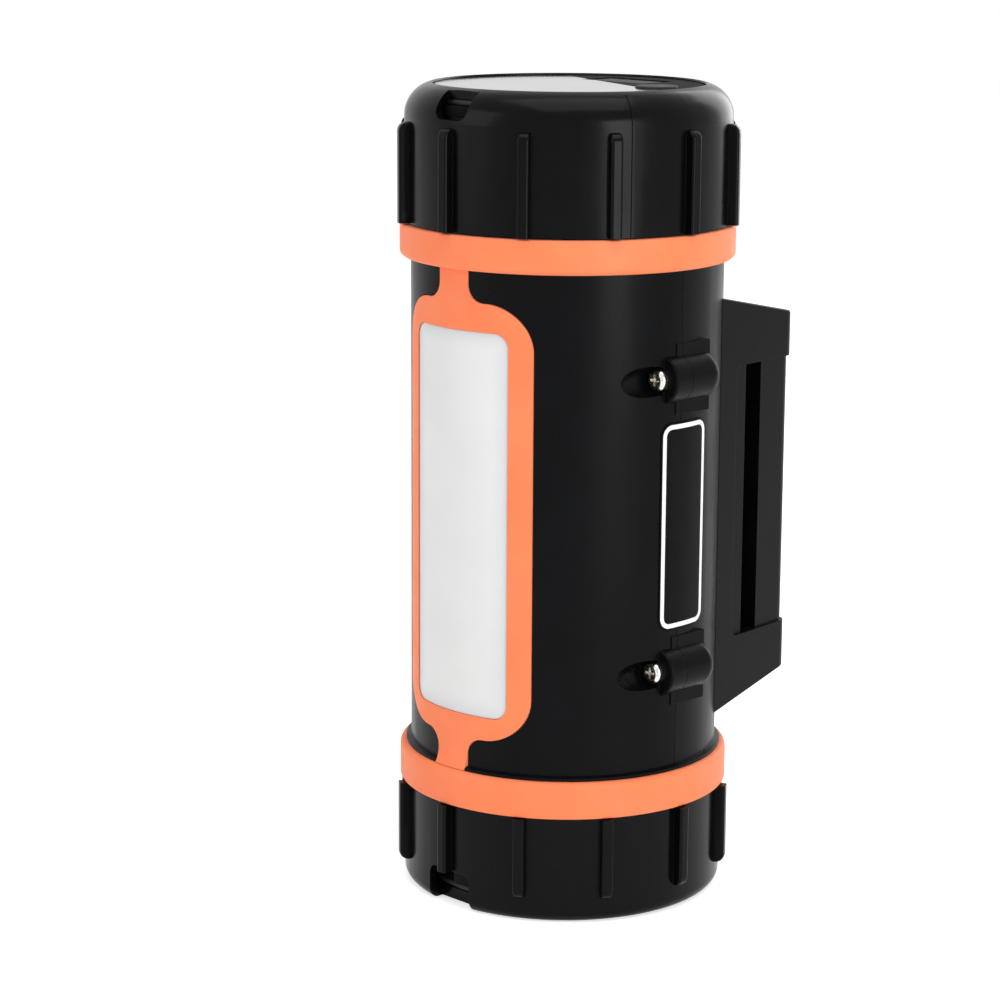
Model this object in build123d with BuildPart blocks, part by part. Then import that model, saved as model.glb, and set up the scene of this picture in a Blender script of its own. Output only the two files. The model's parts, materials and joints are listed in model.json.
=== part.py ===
"""Cylindrical rechargeable lantern flashlight.

Frame: origin on the body axis at the foot, +Z up, area light facing -Y, bracket behind on +Y.
All sizes are in millimetres. Heights named *_z are measured from the foot.
"""
from build123d import *
from math import acos, cos, degrees, radians, sin, sqrt
import os

os.makedirs("parts", exist_ok=True)

# ------------------------------------------------------------------ driving sizes
overall_height = 235.0
body_radius = 45.0
body_wall = 2.8
top_cap_height = 39.5
bottom_cap_height = 31.4
upper_band_height = 9.7
lower_band_height = 10.7
cap_proud = 1.9           # end caps beyond the body
band_proud = 3.25         # orange bands beyond the body
rib_proud = 2.9           # grip ribs beyond the caps

# gaps and fits
seam_gap = 0.2            # between the two half shells
close_fit = 0.1           # pieces that stay together
face_fit = 0.05           # curved faces that lie on each other
trim_gap = 0.25           # round flush trim
turn_gap = 0.4            # caps on the necks
move_gap = 0.3            # buttons and flaps
thread_fit = 0.03         # screws in their pilot holes
wire_room = 0.2           # round a wire
cut_over = 5.0            # how far a cut runs past what it cuts
weld = 0.6                # how far a boss or pad starts inside its wall

# end caps
cap_wall = 2.6
top_lip = 2.6             # thickness of the top cap's inward lip
bottom_lip = 3.4
lip_width = 8.0
shoulder_radius = 9.5
shoulder_inside = 5.0
foot_radius = 3.5
rib_count = 12
rib_width = 3.4
top_rib_length = 28.5
top_rib_start = 0.5       # above the cap's lower edge
bottom_rib_length = 23.7
rib_corner = 2.6
rib_crest_round = 0.8
cap_join_gap = 0.3        # between a cap and its band
rim_edge = 0.4            # bevel on the caps' inner rims
top_notch_width = 12.5
top_notch_height = 8.4
notch_land = 2.2          # lip left standing behind a notch
bottom_notch_width = 16.4
bottom_notch_height = 11.0
notch_corner = 3.0
bead_angle = 66.5         # parting bead, from the lantern's side
bead_width = 0.9
bead_proud = 0.3
bead_arc = 62.0           # how far up the shoulder the bead runs

# bayonet
neck_wall = 3.0
lug_count = 4
lug_arc = 12.0
lug_side_gap = 1.0        # degrees, both sides together
lug_tip_gap = 0.3
lug_first = 45.0
lug_height = 3.0
lug_inset = 8.0           # from the neck's end to the lug
channel_depth = 1.6
cap_turn = 35.0

# seals and top panel
seal_section = 1.9
seal_room = 2.0
seal_inset = 1.7          # seal's centre inside the flange's edge
panel_sunk = 0.6
panel_skin = 2.2
panel_skirt = 2.2
panel_flange = 3.0
panel_flange_inset = 1.9  # inside the neck's outer wall
panel_key_width = 6.0
panel_key_depth = 2.0
panel_key_reach = 1.8
panel_edge = 0.4
board_post_radius = 3.0
board_post_inset = 9.1    # from the cap's lip to the board's posts
board_post_height = 8.6
board_screw_radius = 1.2
board_post_solid = 1.5    # post left solid above its hole
board_screw_length = 6.0
board_screw_head = 2.3
board_screw_head_height = 1.6
board_hole_radius = 1.4
control_chip_at = (-8, -6)
control_chip_size = 9.0
control_chip_height = 1.4
driver_at = ((8, -12), (12, -2), (-18, 4))
driver_length = 5.0
driver_width = 4.0
capacitor_at = ((-4, -20), (6, 6))
capacitor_radius = 3.0
capacitor_height = 5.5
fastener_angle = 45.0     # first screw or post of a ring of four

# power button
button_radius = 6.0
button_inset = 11.5       # from the cap's lip to the button's axis
button_angle = 18.0       # from +X towards +Y
button_proud = 0.6
button_edge_round = 0.5
button_flange = 0.8
button_flange_thickness = 1.2
button_stem_radius = 2.0
button_travel = 1.0

# charging sockets and their cover
cover_width = 24.0
cover_length = 13.0
cover_edge_inset = 8.3
cover_thickness = 1.6
cover_pin_radius = 0.7
cover_pin_reach = 1.4
cover_plug_depth = 1.6
cover_plug_width = 18.0
cover_plug_length = 6.4
cover_plug_room = 0.7
cover_recess = 2.1
cover_block = 2.9         # panel thickening below the recess
cover_block_side = 3.0    # panel thickening beside the recess
cover_block_end = 2.0
cover_pin_sunk = 0.3
cover_pin_gap = 0.08
cover_pin_end_gap = 0.2
cover_plug_corner = 1.2
plug_end_gap = 0.5
socket_offset = 4.9
jack_radius = 4.0
jack_bore = 2.75
jack_pin = 1.05
usb_width = 8.9
usb_depth = 3.2
usb_wall = 0.4
usb_tongue_inset = 1.5
usb_tongue_thickness = 0.7

# control board
board_thickness = 1.6
board_inset = 4.7         # from the cap's lip to the board's edge
switch_size = 6.0
switch_height = 3.5
switch_stem_radius = 1.5
switch_stem_height = 1.5
switch_stem_gap = 1.6     # to the button's stem, with the travel

# area light
frame_width = 48.8
frame_height = 125.0
frame_mid_z = 114.3
frame_corner = 13.0
frame_thickness = 1.3
frame_proud = 0.25
window_width = 36.4
window_height = 110.4
window_mid_z = 113.6
window_corner = 4.2
top_neck_width = 11.2
bottom_neck_width = 11.8
neck_fillet = 5.0
neck_flare = 5.0
flare_in_share = 0.25     # where the flare's curve passes
flare_up_share = 0.45
lip_radial_gap = 0.2
panel_lap = 2.6           # diffuser flange under the frame
diffuser_flange = 1.5
tray_inset = 12.0         # from the body's surface to the tray's back
tray_wall = 1.2
tray_ear = 8.0
tray_screw_x = 11.0
tray_boss_radius = 3.5
tray_screw_radius = 1.25
tray_screw_length = 6.5
tray_screw_hole = 7.0
tray_screw_head = 2.4
tray_screw_head_height = 1.5
tray_lap_gap = 0.6        # tray inside the diffuser's flange
light_board_gap = 0.3
light_board_corner = 1.0
lead_rise_gap = 1.2       # lead's centre behind the tray
lead_side = 0.3
led_columns = 3
led_rows = 12
led_size = 2.8
led_height = 0.8
led_pitch_x = 9.0
led_pitch_z = 8.4

# body details
lip_proud = 1.4           # black ledge above the lower band
lip_height = 1.3
lip_face_share = 0.6      # upright part of the lip's edge
band_inner_round = 1.8    # rounding of the edge next to the body
band_outer_round = 0.5    # rounding of the edge next to the cap

# side screws, bosses and pads
screw_inset = 2.4         # side screw axes inside the body's surface
screw_mid_z = 113.25
screw_span = 84.1
boss_radius = 7.0
boss_front = 6.3
boss_rear = 13.8
boss_nose = 4.8
boss_front_round = 0.6
access_radius = 3.6       # straight counterbore in front of a head
access_depth = 5.0
scoop_radius = 4.3        # outward-slanting scoop for the driver
scoop_slant = 10.0
access_wall = 1.6
access_reach = 30.0
pad_half_height = 10.0
pad_front = 2.2
pad_rear = 11.4
pad_proud = 0.3

# pan head screws
head_radius = 3.2
head_height = 2.0
shank_radius = 1.5
shank_length = 16.0
cross_width = 0.75
cross_length = 3.2
cross_depth = 1.1
small_cross_depth = 0.8
head_round_share = 0.6    # fillet on a head, as a share of its height

# label plate
label_width = 19.1
label_height = 59.6
label_corner = 3.8
label_angle = 2.9         # from +X towards +Y
label_mid_z = 113.2
label_sunk = 0.35
label_proud = 0.3
outline_width = 1.3
outline_margin = 0.5
outline_depth = 0.25

# rear bracket
bracket_root_inset = 20.0 # from the body's rear to where the bracket starts
bracket_reach = 17.5      # behind the body
bracket_tip_half = 33.1
bracket_mid_z = 113.0
bracket_root_height = 123.5
bracket_tip_height = 107.8
bracket_corner = 4.0
bracket_edge = 0.8
slot_inset = 5.9
slot_width = 7.6
slot_height = 80.7
slot_mid_z = 113.55
recess_inset = 11.5
recess_depth = 0.9
recess_corner = 2.5
recess_face_share = 0.4   # how much of the side recess the outer face takes
cradle_radius = 24.0
cradle_depth = 3.6
rear_pad_thickness = 2.0
rear_pad_height = 70.0
rear_pad_half_angle = 24.0
bracket_screw_x = 20.0
bracket_screw_rise = 51.5
bracket_boss_radius = 4.6
bracket_screw_sunk = 2.0  # heads below the bosses' seats
bracket_hole_start = 15.0
bracket_hole_depth = 22.0
bracket_root_gap = 0.1
pad_seat_sunk = 0.6
pad_rib_count = 9
pad_groove_width = 1.6
pad_groove_depth = 1.4
pad_groove_margin = 2.0

# battery pack
cell_radius = 13.1
cell_edge_round = 1.0
cell_length = 65.5
cell_pitch = 26.8
terminal_radius = 4.0
holder_floor = 2.0
holder_pocket = 4.5
holder_half = 29.2
holder_corner = 15.0
bar_thickness = 0.4
bar_width = 8.0
ledge_bore = 30.0
ledge_thickness = 3.0
rod_radius = 2.0
rod_head_radius = 4.0
rod_head_height = 2.6
battery_board_x = 50.0
battery_board_y = 30.0
battery_board_rise = 3.6
battery_post_radius = 2.5
battery_post_inset = 4.0
chip_length = 6.0
chip_width = 5.0
chip_height = 1.1
chip_pitch = 12.0
neck_height = 1.2         # of a cell's shoulder and terminal
bar_corner = 1.5
nut_height = 3.0
bolt_over = 3.4           # bolt above the pack

# wires
wire_radius = 1.1
wire_bend = 6.0
torch_lead_gap = 2.3      # torch lead's centre behind the holder
torch_lead_notch = 6.0
torch_lead_side = 1.5     # notch's middle beyond the lead
lead_tail = 10.0          # straight run of a lead before it turns
short_tail = 8.0
lamp_lead_rise = 6.0      # lamp lead's turn above the tray
positive_foot = (-20, 8)  # on the battery's board
positive_top = (-15, 12)  # on the control board
negative_foot = (-20, -4)
negative_top = (-16, -9)
lead_notch = 6.0

# torch in the foot
torch_lens_thickness = 3.0
reflector_flange = 1.2
reflector_inset = 2.9     # inside the neck's bore
reflector_throat = 6.0
reflector_depth = 23.4
reflector_wall = 1.6
led_board_radius = 9.0
led_dome_radius = 2.5
sink_disc = 2.0
sink_lap = 8.0            # sink's edge beyond the ledge's bore
collar_gap = 0.5          # reflector's collar inside the neck
led_dome_flat = 0.2
sink_core_radius = 11.0
sink_core_height = 5.3
sink_fin_length = 16.0
sink_fin_offset = 7.0     # fins' middle beyond the core's edge
sink_screw_length = 4.5
sink_screw_head = 2.6
sink_screw_head_height = 1.8
lens_edge = 0.4
sink_fin_count = 8
sink_fin_thickness = 1.6
sink_screw_lap = 4.2
sink_screw_count = 4

# ------------------------------------------------------------------ worked-out places
cap_radius = body_radius + cap_proud
band_radius = body_radius + band_proud
rib_radius = cap_radius + rib_proud
cap_bore = cap_radius - cap_wall
neck_radius = cap_bore - turn_gap
neck_bore = neck_radius - neck_wall
body_bore = body_radius - body_wall
lip_bore_radius = cap_radius - lip_width
panel_flange_radius = neck_radius - panel_flange_inset
reflector_radius = neck_bore - reflector_inset
screw_offset = body_radius - screw_inset
board_post_ring = lip_bore_radius - board_post_inset
board_radius = lip_bore_radius - board_inset
button_ring = lip_bore_radius - button_inset
cover_edge_y = lip_bore_radius - cover_edge_inset
tray_depth_y = body_radius - tray_inset
bracket_root_y = body_radius - bracket_root_inset
bracket_depth_y = body_radius + bracket_reach
bracket_root_half = sqrt(body_radius ** 2 - bracket_root_y ** 2) - bracket_root_gap
slot_front_y = body_radius - slot_inset
recess_front_y = body_radius - recess_inset
sink_radius = ledge_bore + sink_lap
sink_screw_ring = ledge_bore + sink_screw_lap
lip_radius = body_radius + lip_proud

lower_band_z = bottom_cap_height
body_z = lower_band_z + lower_band_height
top_cap_z = overall_height - top_cap_height
upper_band_z = top_cap_z - upper_band_height

lens_z = bottom_lip + seal_room
reflector_z = lens_z + torch_lens_thickness
bottom_neck_z = reflector_z + reflector_flange
panel_z = overall_height - panel_sunk
panel_flange_top = overall_height - top_lip - seal_room - move_gap
top_neck_z = panel_flange_top - panel_flange
panel_under_z = panel_z - panel_skin
board_top_z = panel_under_z - board_post_height
board_z = board_top_z - board_thickness

throat_z = reflector_z + reflector_flange + reflector_depth
led_board_z = throat_z + reflector_wall
sink_core_z = led_board_z + board_thickness
sink_disc_z = sink_core_z + sink_core_height
ledge_z = sink_disc_z + sink_disc
pack_z = ledge_z + ledge_thickness
lower_cell_z = pack_z + holder_floor + bar_thickness
middle_z = lower_cell_z + cell_length + bar_thickness
upper_cell_z = middle_z + holder_floor + bar_thickness
pack_floor_top = upper_cell_z + cell_length + bar_thickness
pack_top = pack_floor_top + holder_floor
battery_board_z = pack_top + battery_board_rise
post_pitch_x = battery_board_x - 2 * battery_post_inset
post_pitch_y = battery_board_y - 2 * battery_post_inset
ledge_top_z = pack_top + ledge_thickness

frame_bore = body_radius + frame_proud - frame_thickness
frame_seat = frame_bore - close_fit
diffuser_bore = frame_seat - diffuser_flange
screw_z = [screw_mid_z - screw_span / 2, screw_mid_z + screw_span / 2]
slot_low_z = slot_mid_z - slot_height / 2
bracket_screw_z = [bracket_mid_z - bracket_screw_rise, bracket_mid_z + bracket_screw_rise]
bracket_seat_y = sqrt(body_bore ** 2 - (bracket_screw_x + bracket_boss_radius) ** 2)
button_x = button_ring * cos(radians(button_angle))
button_y = button_ring * sin(radians(button_angle))
cover_y = cover_edge_y - cover_length / 2
cover_pin_z = panel_z - cover_thickness / 2 - cover_pin_sunk
cover_pin_y = cover_edge_y - move_gap - cover_thickness / 2
lead_y = tray_depth_y + tray_wall + lead_rise_gap
torch_lead_y = holder_half + torch_lead_gap


def ring(inner, outer, low, high):
    """A plain ring about Z, or a disc where the inner radius is 0."""
    with BuildPart() as piece:
        with BuildSketch(Plane.XY.offset(low)):
            Circle(outer)
            if inner:
                Circle(inner, mode=Mode.SUBTRACT)
        extrude(amount=high - low)
    return piece.part


def ring_sector(inner, outer, low, high, start, arc):
    """A piece of a ring about Z, between two angles measured from +X."""
    with BuildPart() as piece:
        with BuildSketch(Plane.XZ):
            with Locations(((inner + outer) / 2, (low + high) / 2)):
                Rectangle(outer - inner, high - low)
        revolve(axis=Axis.Z, revolution_arc=arc)
    return piece.part.rotate(Axis.Z, start)


def revolved(points):
    """A solid of revolution about Z from points given as radius and height."""
    with BuildPart() as piece:
        with BuildSketch(Plane.XZ):
            with BuildLine():
                Polyline(*points, close=True)
            make_face()
        revolve(axis=Axis.Z)
    return piece.part


def seal_ring(radius, mid_z):
    """An O-ring about Z."""
    with BuildPart() as piece:
        with BuildSketch(Plane.XZ):
            with Locations((radius, mid_z)):
                Circle(seal_section / 2 - face_fit)
        revolve(axis=Axis.Z)
    return piece.part


def pan_screw(radius, length, head, height, depth):
    """A cross-head screw along Z: head above z = 0 with its recess, shank below."""
    with BuildPart() as piece:
        with BuildSketch(Plane.XY):
            Circle(head)
        extrude(amount=height)
        fillet(piece.edges().group_by(Axis.Z)[-1], height * head_round_share)
        with BuildSketch(Plane.XY):
            Circle(radius)
        extrude(amount=-length)
        with BuildSketch(Plane.XY.offset(height)):
            Rectangle(cross_length * head / head_radius, cross_width)
            Rectangle(cross_width, cross_length * head / head_radius)
        extrude(amount=-depth, mode=Mode.SUBTRACT)
    return piece.part


def front_plate(outline, inner, outer):
    """A curved plate on the front: an outline seen from the front, between two radii."""
    with BuildPart() as piece:
        with BuildSketch(Plane.XZ):
            add(outline)
        extrude(amount=outer + cut_over)
        add(ring(inner, outer, 0, overall_height), mode=Mode.INTERSECT)
    return piece.part


# ------------------------------------------------------------------ half shells
def bayonet_cuts(end_z, lug_z, opening):
    """Channels in a neck: a run along the turn and an entry out to the neck's end.

    The run goes from the locked lug by cap_turn in the opening's direction, +1 or -1 about Z.
    """
    inner = neck_radius - channel_depth
    width = lug_arc + lug_side_gap
    cuts = []
    for index in range(lug_count):
        locked = lug_first + index * 360 / lug_count
        unlocked = locked + opening * cap_turn
        start = min(locked, unlocked) - width / 2
        low = lug_z - lug_height / 2 - move_gap
        high = lug_z + lug_height / 2 + move_gap
        cuts.append(ring_sector(inner, neck_radius + 1, low, high, start, cap_turn + width))
        entry_low = min(low, end_z - 1)
        entry_high = max(high, end_z + 1)
        cuts.append(
            ring_sector(inner, neck_radius + 1, entry_low, entry_high, unlocked - width / 2, width)
        )
    return cuts


top_lug_z = top_neck_z - lug_inset
bottom_lug_z = bottom_neck_z + lug_inset

body_tube = revolved(
    [
        (neck_bore, bottom_neck_z),
        (neck_radius, bottom_neck_z),
        (neck_radius, lower_band_z),
        (body_radius, lower_band_z),
        (body_radius, body_z),
        (lip_radius, body_z),
        (lip_radius, body_z + lip_height * lip_face_share),
        (body_radius, body_z + lip_height),
        (body_radius, top_cap_z),
        (neck_radius, top_cap_z),
        (neck_radius, top_neck_z),
        (neck_bore, top_neck_z),
        (neck_bore, ledge_top_z),
        (ledge_bore, ledge_top_z),
        (ledge_bore, pack_top),
        (body_bore, pack_top),
        (body_bore, pack_z),
        (ledge_bore, pack_z),
        (ledge_bore, ledge_z),
        (neck_bore, ledge_z),
    ]
)
neck_cuts = bayonet_cuts(top_neck_z, top_lug_z, 1) + bayonet_cuts(bottom_neck_z, bottom_lug_z, -1)


def label_solid(margin, inner, outer):
    """A curved plate on the +X side, inside its outline by a margin."""
    with BuildPart() as piece:
        with BuildSketch(Plane.YZ):
            with Locations((body_radius * sin(radians(label_angle)), label_mid_z)):
                RectangleRounded(
                    label_width - 2 * margin, label_height - 2 * margin, label_corner - margin
                )
        extrude(amount=body_radius + cut_over)
        add(ring(inner, outer, 0, overall_height), mode=Mode.INTERSECT)
    return piece.part


label_cut = label_solid(-close_fit, body_radius - label_sunk, body_radius + 2)

with BuildPart() as shell_body:
    add(body_tube)
    add(neck_cuts, mode=Mode.SUBTRACT)
    with BuildSketch(Plane.XY.offset(ledge_z)):
        with PolarLocations(sink_screw_ring, sink_screw_count, start_angle=fastener_angle):
            Circle(shank_radius + thread_fit)
    extrude(amount=ledge_thickness, mode=Mode.SUBTRACT)
    # ways for the lamp lead and the torch lead past the ledges
    with BuildSketch(Plane.XY.offset(ledge_z - 1)):
        with Locations((0, -ledge_bore - lead_notch / 2), (0, ledge_bore + lead_notch / 2)):
            Rectangle(lead_notch, 2 * lead_notch)
    extrude(amount=ledge_top_z - ledge_z + 2, mode=Mode.SUBTRACT)
    # flat pads above and below each side boss
    with BuildSketch(Plane.YZ.offset(body_bore + weld)):
        for height in screw_z:
            with Locations(((pad_rear - pad_front) / 2, height)):
                Rectangle(pad_front + pad_rear, 2 * pad_half_height)
    extrude(amount=body_radius + pad_proud - body_bore - weld)
    with BuildSketch(Plane.YZ.offset(-body_bore - weld)):
        for height in screw_z:
            with Locations(((pad_rear - pad_front) / 2, height)):
                Rectangle(pad_front + pad_rear, 2 * pad_half_height)
    extrude(amount=-(body_radius + pad_proud - body_bore - weld))
    add(label_cut, mode=Mode.SUBTRACT)


def side_circles(radius):
    """Circles on the four side screw axes, for a sketch on an XZ plane."""
    with BuildSketch() as circles:
        with Locations((0, screw_mid_z)):
            with GridLocations(2 * screw_offset, screw_span, 2, 2):
                Circle(radius)
    return circles.sketch


def frame_outline(margin):
    """The light frame seen from the front, grown by a margin, with its two necks."""
    with BuildSketch() as outline:
        with Locations((0, frame_mid_z)):
            RectangleRounded(frame_width, frame_height, frame_corner)
        with Locations((0, (frame_mid_z + upper_band_z) / 2)):
            Rectangle(top_neck_width, upper_band_z - frame_mid_z)
        with Locations((0, (frame_mid_z + body_z) / 2)):
            Rectangle(bottom_neck_width, frame_mid_z - body_z)
        roots = outline.vertices().filter_by(
            lambda v: abs(abs(v.Y - frame_mid_z) - frame_height / 2) < 0.01
            and abs(v.X) < bottom_neck_width / 2 + 0.01
        )
        fillet(roots, neck_fillet)
        if margin:
            offset(amount=margin, kind=Kind.INTERSECTION)
    return outline.sketch


def window_outline(margin):
    """The light's window seen from the front, grown by a margin."""
    with BuildSketch() as outline:
        with Locations((0, window_mid_z)):
            RectangleRounded(
                window_width + 2 * margin, window_height + 2 * margin, window_corner + margin
            )
    return outline.sketch


front_reach = body_radius + cut_over
frame_recess = front_plate(frame_outline(trim_gap), frame_seat, body_radius + cut_over)

tray_top_z = window_mid_z + window_height / 2 + panel_lap
tray_low_z = window_mid_z - window_height / 2 - panel_lap
tray_screw_z = [tray_low_z - tray_ear / 2, tray_top_z + tray_ear / 2]
body_core = ring(0, body_radius - close_fit, bottom_cap_height, top_cap_z)

with BuildPart() as tray_bosses:
    with BuildSketch(Plane.XZ.offset(tray_depth_y + tray_wall)):
        for height in tray_screw_z:
            with Locations((-tray_screw_x, height), (tray_screw_x, height)):
                Circle(tray_boss_radius)
    extrude(amount=body_radius - tray_depth_y)
    add(ring(0, body_bore + weld, 0, overall_height), mode=Mode.INTERSECT)

with BuildPart() as access_tubes:
    with BuildSketch(Plane.XZ):
        add(side_circles(scoop_radius + access_wall))
    extrude(amount=access_reach)
    add(body_core, mode=Mode.INTERSECT)

slant = radians(scoop_slant)
scoop_y = -boss_front - scoop_radius * sin(slant)
with BuildPart() as scoops:
    for side in (-1, 1):
        driver_way = Plane(
            origin=(side * screw_offset, scoop_y, screw_mid_z),
            x_dir=(cos(slant), side * sin(slant), 0),
            z_dir=(side * sin(slant), -cos(slant), 0),
        )
        with BuildSketch(driver_way):
            with GridLocations(1, screw_span, 1, 2):
                Circle(scoop_radius)
        extrude(amount=access_reach)

with BuildPart() as front_bosses:
    with BuildSketch(Plane.XZ.offset(seam_gap / 2)):
        add(side_circles(boss_radius))
    extrude(amount=boss_front - seam_gap / 2)
    fillet(front_bosses.edges().group_by(Axis.Y)[0], boss_front_round)

with BuildPart() as front_shell:
    add(shell_body.part)
    split(bisect_by=Plane.XZ.offset(seam_gap / 2), keep=Keep.TOP)
    add(frame_recess, mode=Mode.SUBTRACT)
    with BuildSketch(Plane.XZ):
        add(window_outline(panel_lap + close_fit))
    extrude(amount=front_reach, mode=Mode.SUBTRACT)
    add(access_tubes.part)
    add(front_bosses.part)
    with BuildSketch(Plane.XZ.offset(boss_front)):
        add(side_circles(access_radius))
    extrude(amount=access_depth, mode=Mode.SUBTRACT)
    add(scoops.part, mode=Mode.SUBTRACT)
    with BuildSketch(Plane.XZ):
        add(side_circles(shank_radius + close_fit))
    extrude(amount=boss_front + 1, mode=Mode.SUBTRACT)
    add(tray_bosses.part)
    with BuildSketch(Plane.XZ.offset(tray_depth_y)):
        for height in tray_screw_z:
            with Locations((-tray_screw_x, height), (tray_screw_x, height)):
                Circle(tray_screw_radius + thread_fit)
    extrude(amount=tray_screw_hole, mode=Mode.SUBTRACT)
    split(bisect_by=Plane.XZ.offset(seam_gap / 2), keep=Keep.TOP)

with BuildPart() as rear_bosses:
    with BuildSketch(Plane.XZ.offset(-boss_rear)):
        add(side_circles(boss_radius))
    extrude(amount=boss_rear - seam_gap / 2)
    fillet(rear_bosses.edges().group_by(Axis.Y)[-1], boss_nose)

with BuildPart() as slot_wall:
    with BuildSketch(Plane.XY.offset(slot_low_z - body_wall)):
        with Locations((0, slot_front_y - body_wall + body_radius)):
            Rectangle(2 * sqrt(body_radius ** 2 - slot_front_y ** 2) + 2 * body_wall, 2 * body_radius)
    extrude(amount=slot_height + 2 * body_wall)
    add(body_core, mode=Mode.INTERSECT)

with BuildPart() as bracket_bosses:
    with BuildSketch(Plane.XZ.offset(-bracket_seat_y + bracket_screw_sunk)):
        for height in bracket_screw_z:
            with Locations((-bracket_screw_x, height), (bracket_screw_x, height)):
                Circle(bracket_boss_radius)
    extrude(amount=-body_radius)
    add(body_core, mode=Mode.INTERSECT)

with BuildPart() as rear_shell:
    add(shell_body.part)
    split(bisect_by=Plane.XZ.offset(-seam_gap / 2), keep=Keep.BOTTOM)
    add(rear_bosses.part)
    add(slot_wall.part)
    add(bracket_bosses.part)
    with BuildSketch(Plane.XY.offset(slot_low_z)):
        with Locations((0, slot_front_y + body_radius)):
            Rectangle(4 * body_radius, 2 * body_radius)
    extrude(amount=slot_height, mode=Mode.SUBTRACT)
    with BuildSketch(Plane.XZ):
        add(side_circles(shank_radius + thread_fit))
    extrude(amount=-(shank_length - boss_front + 1), mode=Mode.SUBTRACT)
    with BuildSketch(Plane.XZ.offset(-bracket_seat_y + bracket_screw_sunk + 1)):
        for height in bracket_screw_z:
            with Locations((-bracket_screw_x, height), (bracket_screw_x, height)):
                Circle(shank_radius + close_fit)
    extrude(amount=-body_radius, mode=Mode.SUBTRACT)
    with BuildSketch(Plane.XZ.offset(-bracket_seat_y + bracket_screw_sunk)):
        for height in bracket_screw_z:
            with Locations((-bracket_screw_x, height), (bracket_screw_x, height)):
                Circle(head_radius + move_gap)
    extrude(amount=head_height + move_gap, mode=Mode.SUBTRACT)
    # seat for the top panel's key
    with BuildSketch(Plane.XY.offset(top_neck_z - panel_key_depth - close_fit)):
        with Locations((0, neck_bore + neck_wall / 2)):
            Rectangle(panel_key_width + 2 * close_fit, 2 * neck_wall)
    extrude(amount=panel_key_depth + 1, mode=Mode.SUBTRACT)
    split(bisect_by=Plane.XZ.offset(-seam_gap / 2), keep=Keep.BOTTOM)

# ------------------------------------------------------------------ bands
band_bore = body_radius + face_fit


def band(low, high, low_round, high_round):
    """A band about the body between two heights, its two outer edges rounded."""
    with BuildPart() as piece:
        with BuildSketch(Plane.XZ) as section:
            with Locations(((band_bore + band_radius) / 2, (low + high) / 2)):
                Rectangle(band_radius - band_bore, high - low)
            fillet(section.vertices().group_by(Axis.X)[-1].sort_by(Axis.Y)[0], low_round)
            fillet(section.vertices().group_by(Axis.Y)[-1].sort_by(Axis.X)[-1], high_round)
        revolve(axis=Axis.Z)
    return piece.part


with BuildPart() as upper_band:
    add(band(upper_band_z, top_cap_z, band_inner_round, band_outer_round))

with BuildPart() as lower_band:
    add(band(lower_band_z, body_z - close_fit, band_outer_round, band_inner_round))

# ------------------------------------------------------------------ area light
with BuildPart() as lens_frame:
    with BuildSketch(Plane.XZ):
        with BuildLine():
            low = body_z + face_fit
            high = upper_band_z - face_fit
            outer = body_radius + frame_proud
            foot = (lip_radius + lip_radial_gap, low)
            rise = (outer, low + neck_flare)
            sweep_in = (
                outer + flare_in_share * (foot[0] - outer),
                low + flare_up_share * neck_flare,
            )
            Polyline(foot, (frame_bore, low), (frame_bore, high), (outer, high), rise)
            ThreePointArc(rise, sweep_in, foot)
        make_face()
    revolve(axis=Axis.Z)
    with BuildSketch(Plane.XZ):
        add(frame_outline(0))
        add(window_outline(0), mode=Mode.SUBTRACT)
    extrude(amount=front_reach, mode=Mode.INTERSECT)

with BuildPart() as light_panel:
    add(front_plate(window_outline(panel_lap), diffuser_bore, frame_seat - close_fit))
    add(front_plate(window_outline(-close_fit), diffuser_bore, body_radius - close_fit))

tray_half = window_width / 2 + panel_lap - tray_lap_gap
tray_height = window_height + 2 * (panel_lap - tray_lap_gap)
with BuildPart() as light_tray:
    with BuildSketch(Plane.XZ.offset(tray_depth_y)):
        with Locations((0, window_mid_z)):
            RectangleRounded(2 * tray_half, tray_height, window_corner + panel_lap - tray_lap_gap)
    extrude(amount=body_radius)
    add(ring(0, diffuser_bore - face_fit, 0, overall_height), mode=Mode.INTERSECT)
    with BuildSketch(Plane.XZ.offset(tray_depth_y + tray_wall)):
        with Locations((0, window_mid_z)):
            RectangleRounded(
                2 * (tray_half - tray_wall),
                tray_height - 2 * tray_wall,
                window_corner + panel_lap - tray_lap_gap - tray_wall,
            )
    extrude(amount=body_radius, mode=Mode.SUBTRACT)
    with BuildSketch(Plane.XZ.offset(tray_depth_y)):
        for height in tray_screw_z:
            with Locations((0, height)):
                Rectangle(2 * (tray_screw_x + tray_boss_radius), tray_ear + 2)
    extrude(amount=tray_wall)
    with BuildSketch(Plane.XZ.offset(tray_depth_y - 1)):
        for height in tray_screw_z:
            with Locations((-tray_screw_x, height), (tray_screw_x, height)):
                Circle(tray_screw_radius + close_fit)
    extrude(amount=tray_wall + 2, mode=Mode.SUBTRACT)
    # way out for the lamp lead
    with BuildSketch(Plane.XY.offset(window_mid_z)):
        with Locations((0, -lead_y - lead_side)):
            Circle(wire_radius + wire_room)
    extrude(amount=tray_height, mode=Mode.SUBTRACT)

light_board_width = 2 * (tray_half - tray_wall - light_board_gap)
light_board_height = tray_height - 2 * tray_wall - 2 * light_board_gap
with BuildPart() as light_board:
    with BuildSketch(Plane.XZ.offset(tray_depth_y + tray_wall)):
        with Locations((0, window_mid_z)):
            RectangleRounded(light_board_width, light_board_height, window_corner + light_board_corner)
    extrude(amount=tray_wall)

with BuildPart() as light_leds:
    with BuildSketch(Plane.XZ.offset(tray_depth_y + 2 * tray_wall)):
        with Locations((0, window_mid_z)):
            with GridLocations(led_pitch_x, led_pitch_z, led_columns, led_rows):
                Rectangle(led_size, led_size)
    extrude(amount=led_height)

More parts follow.
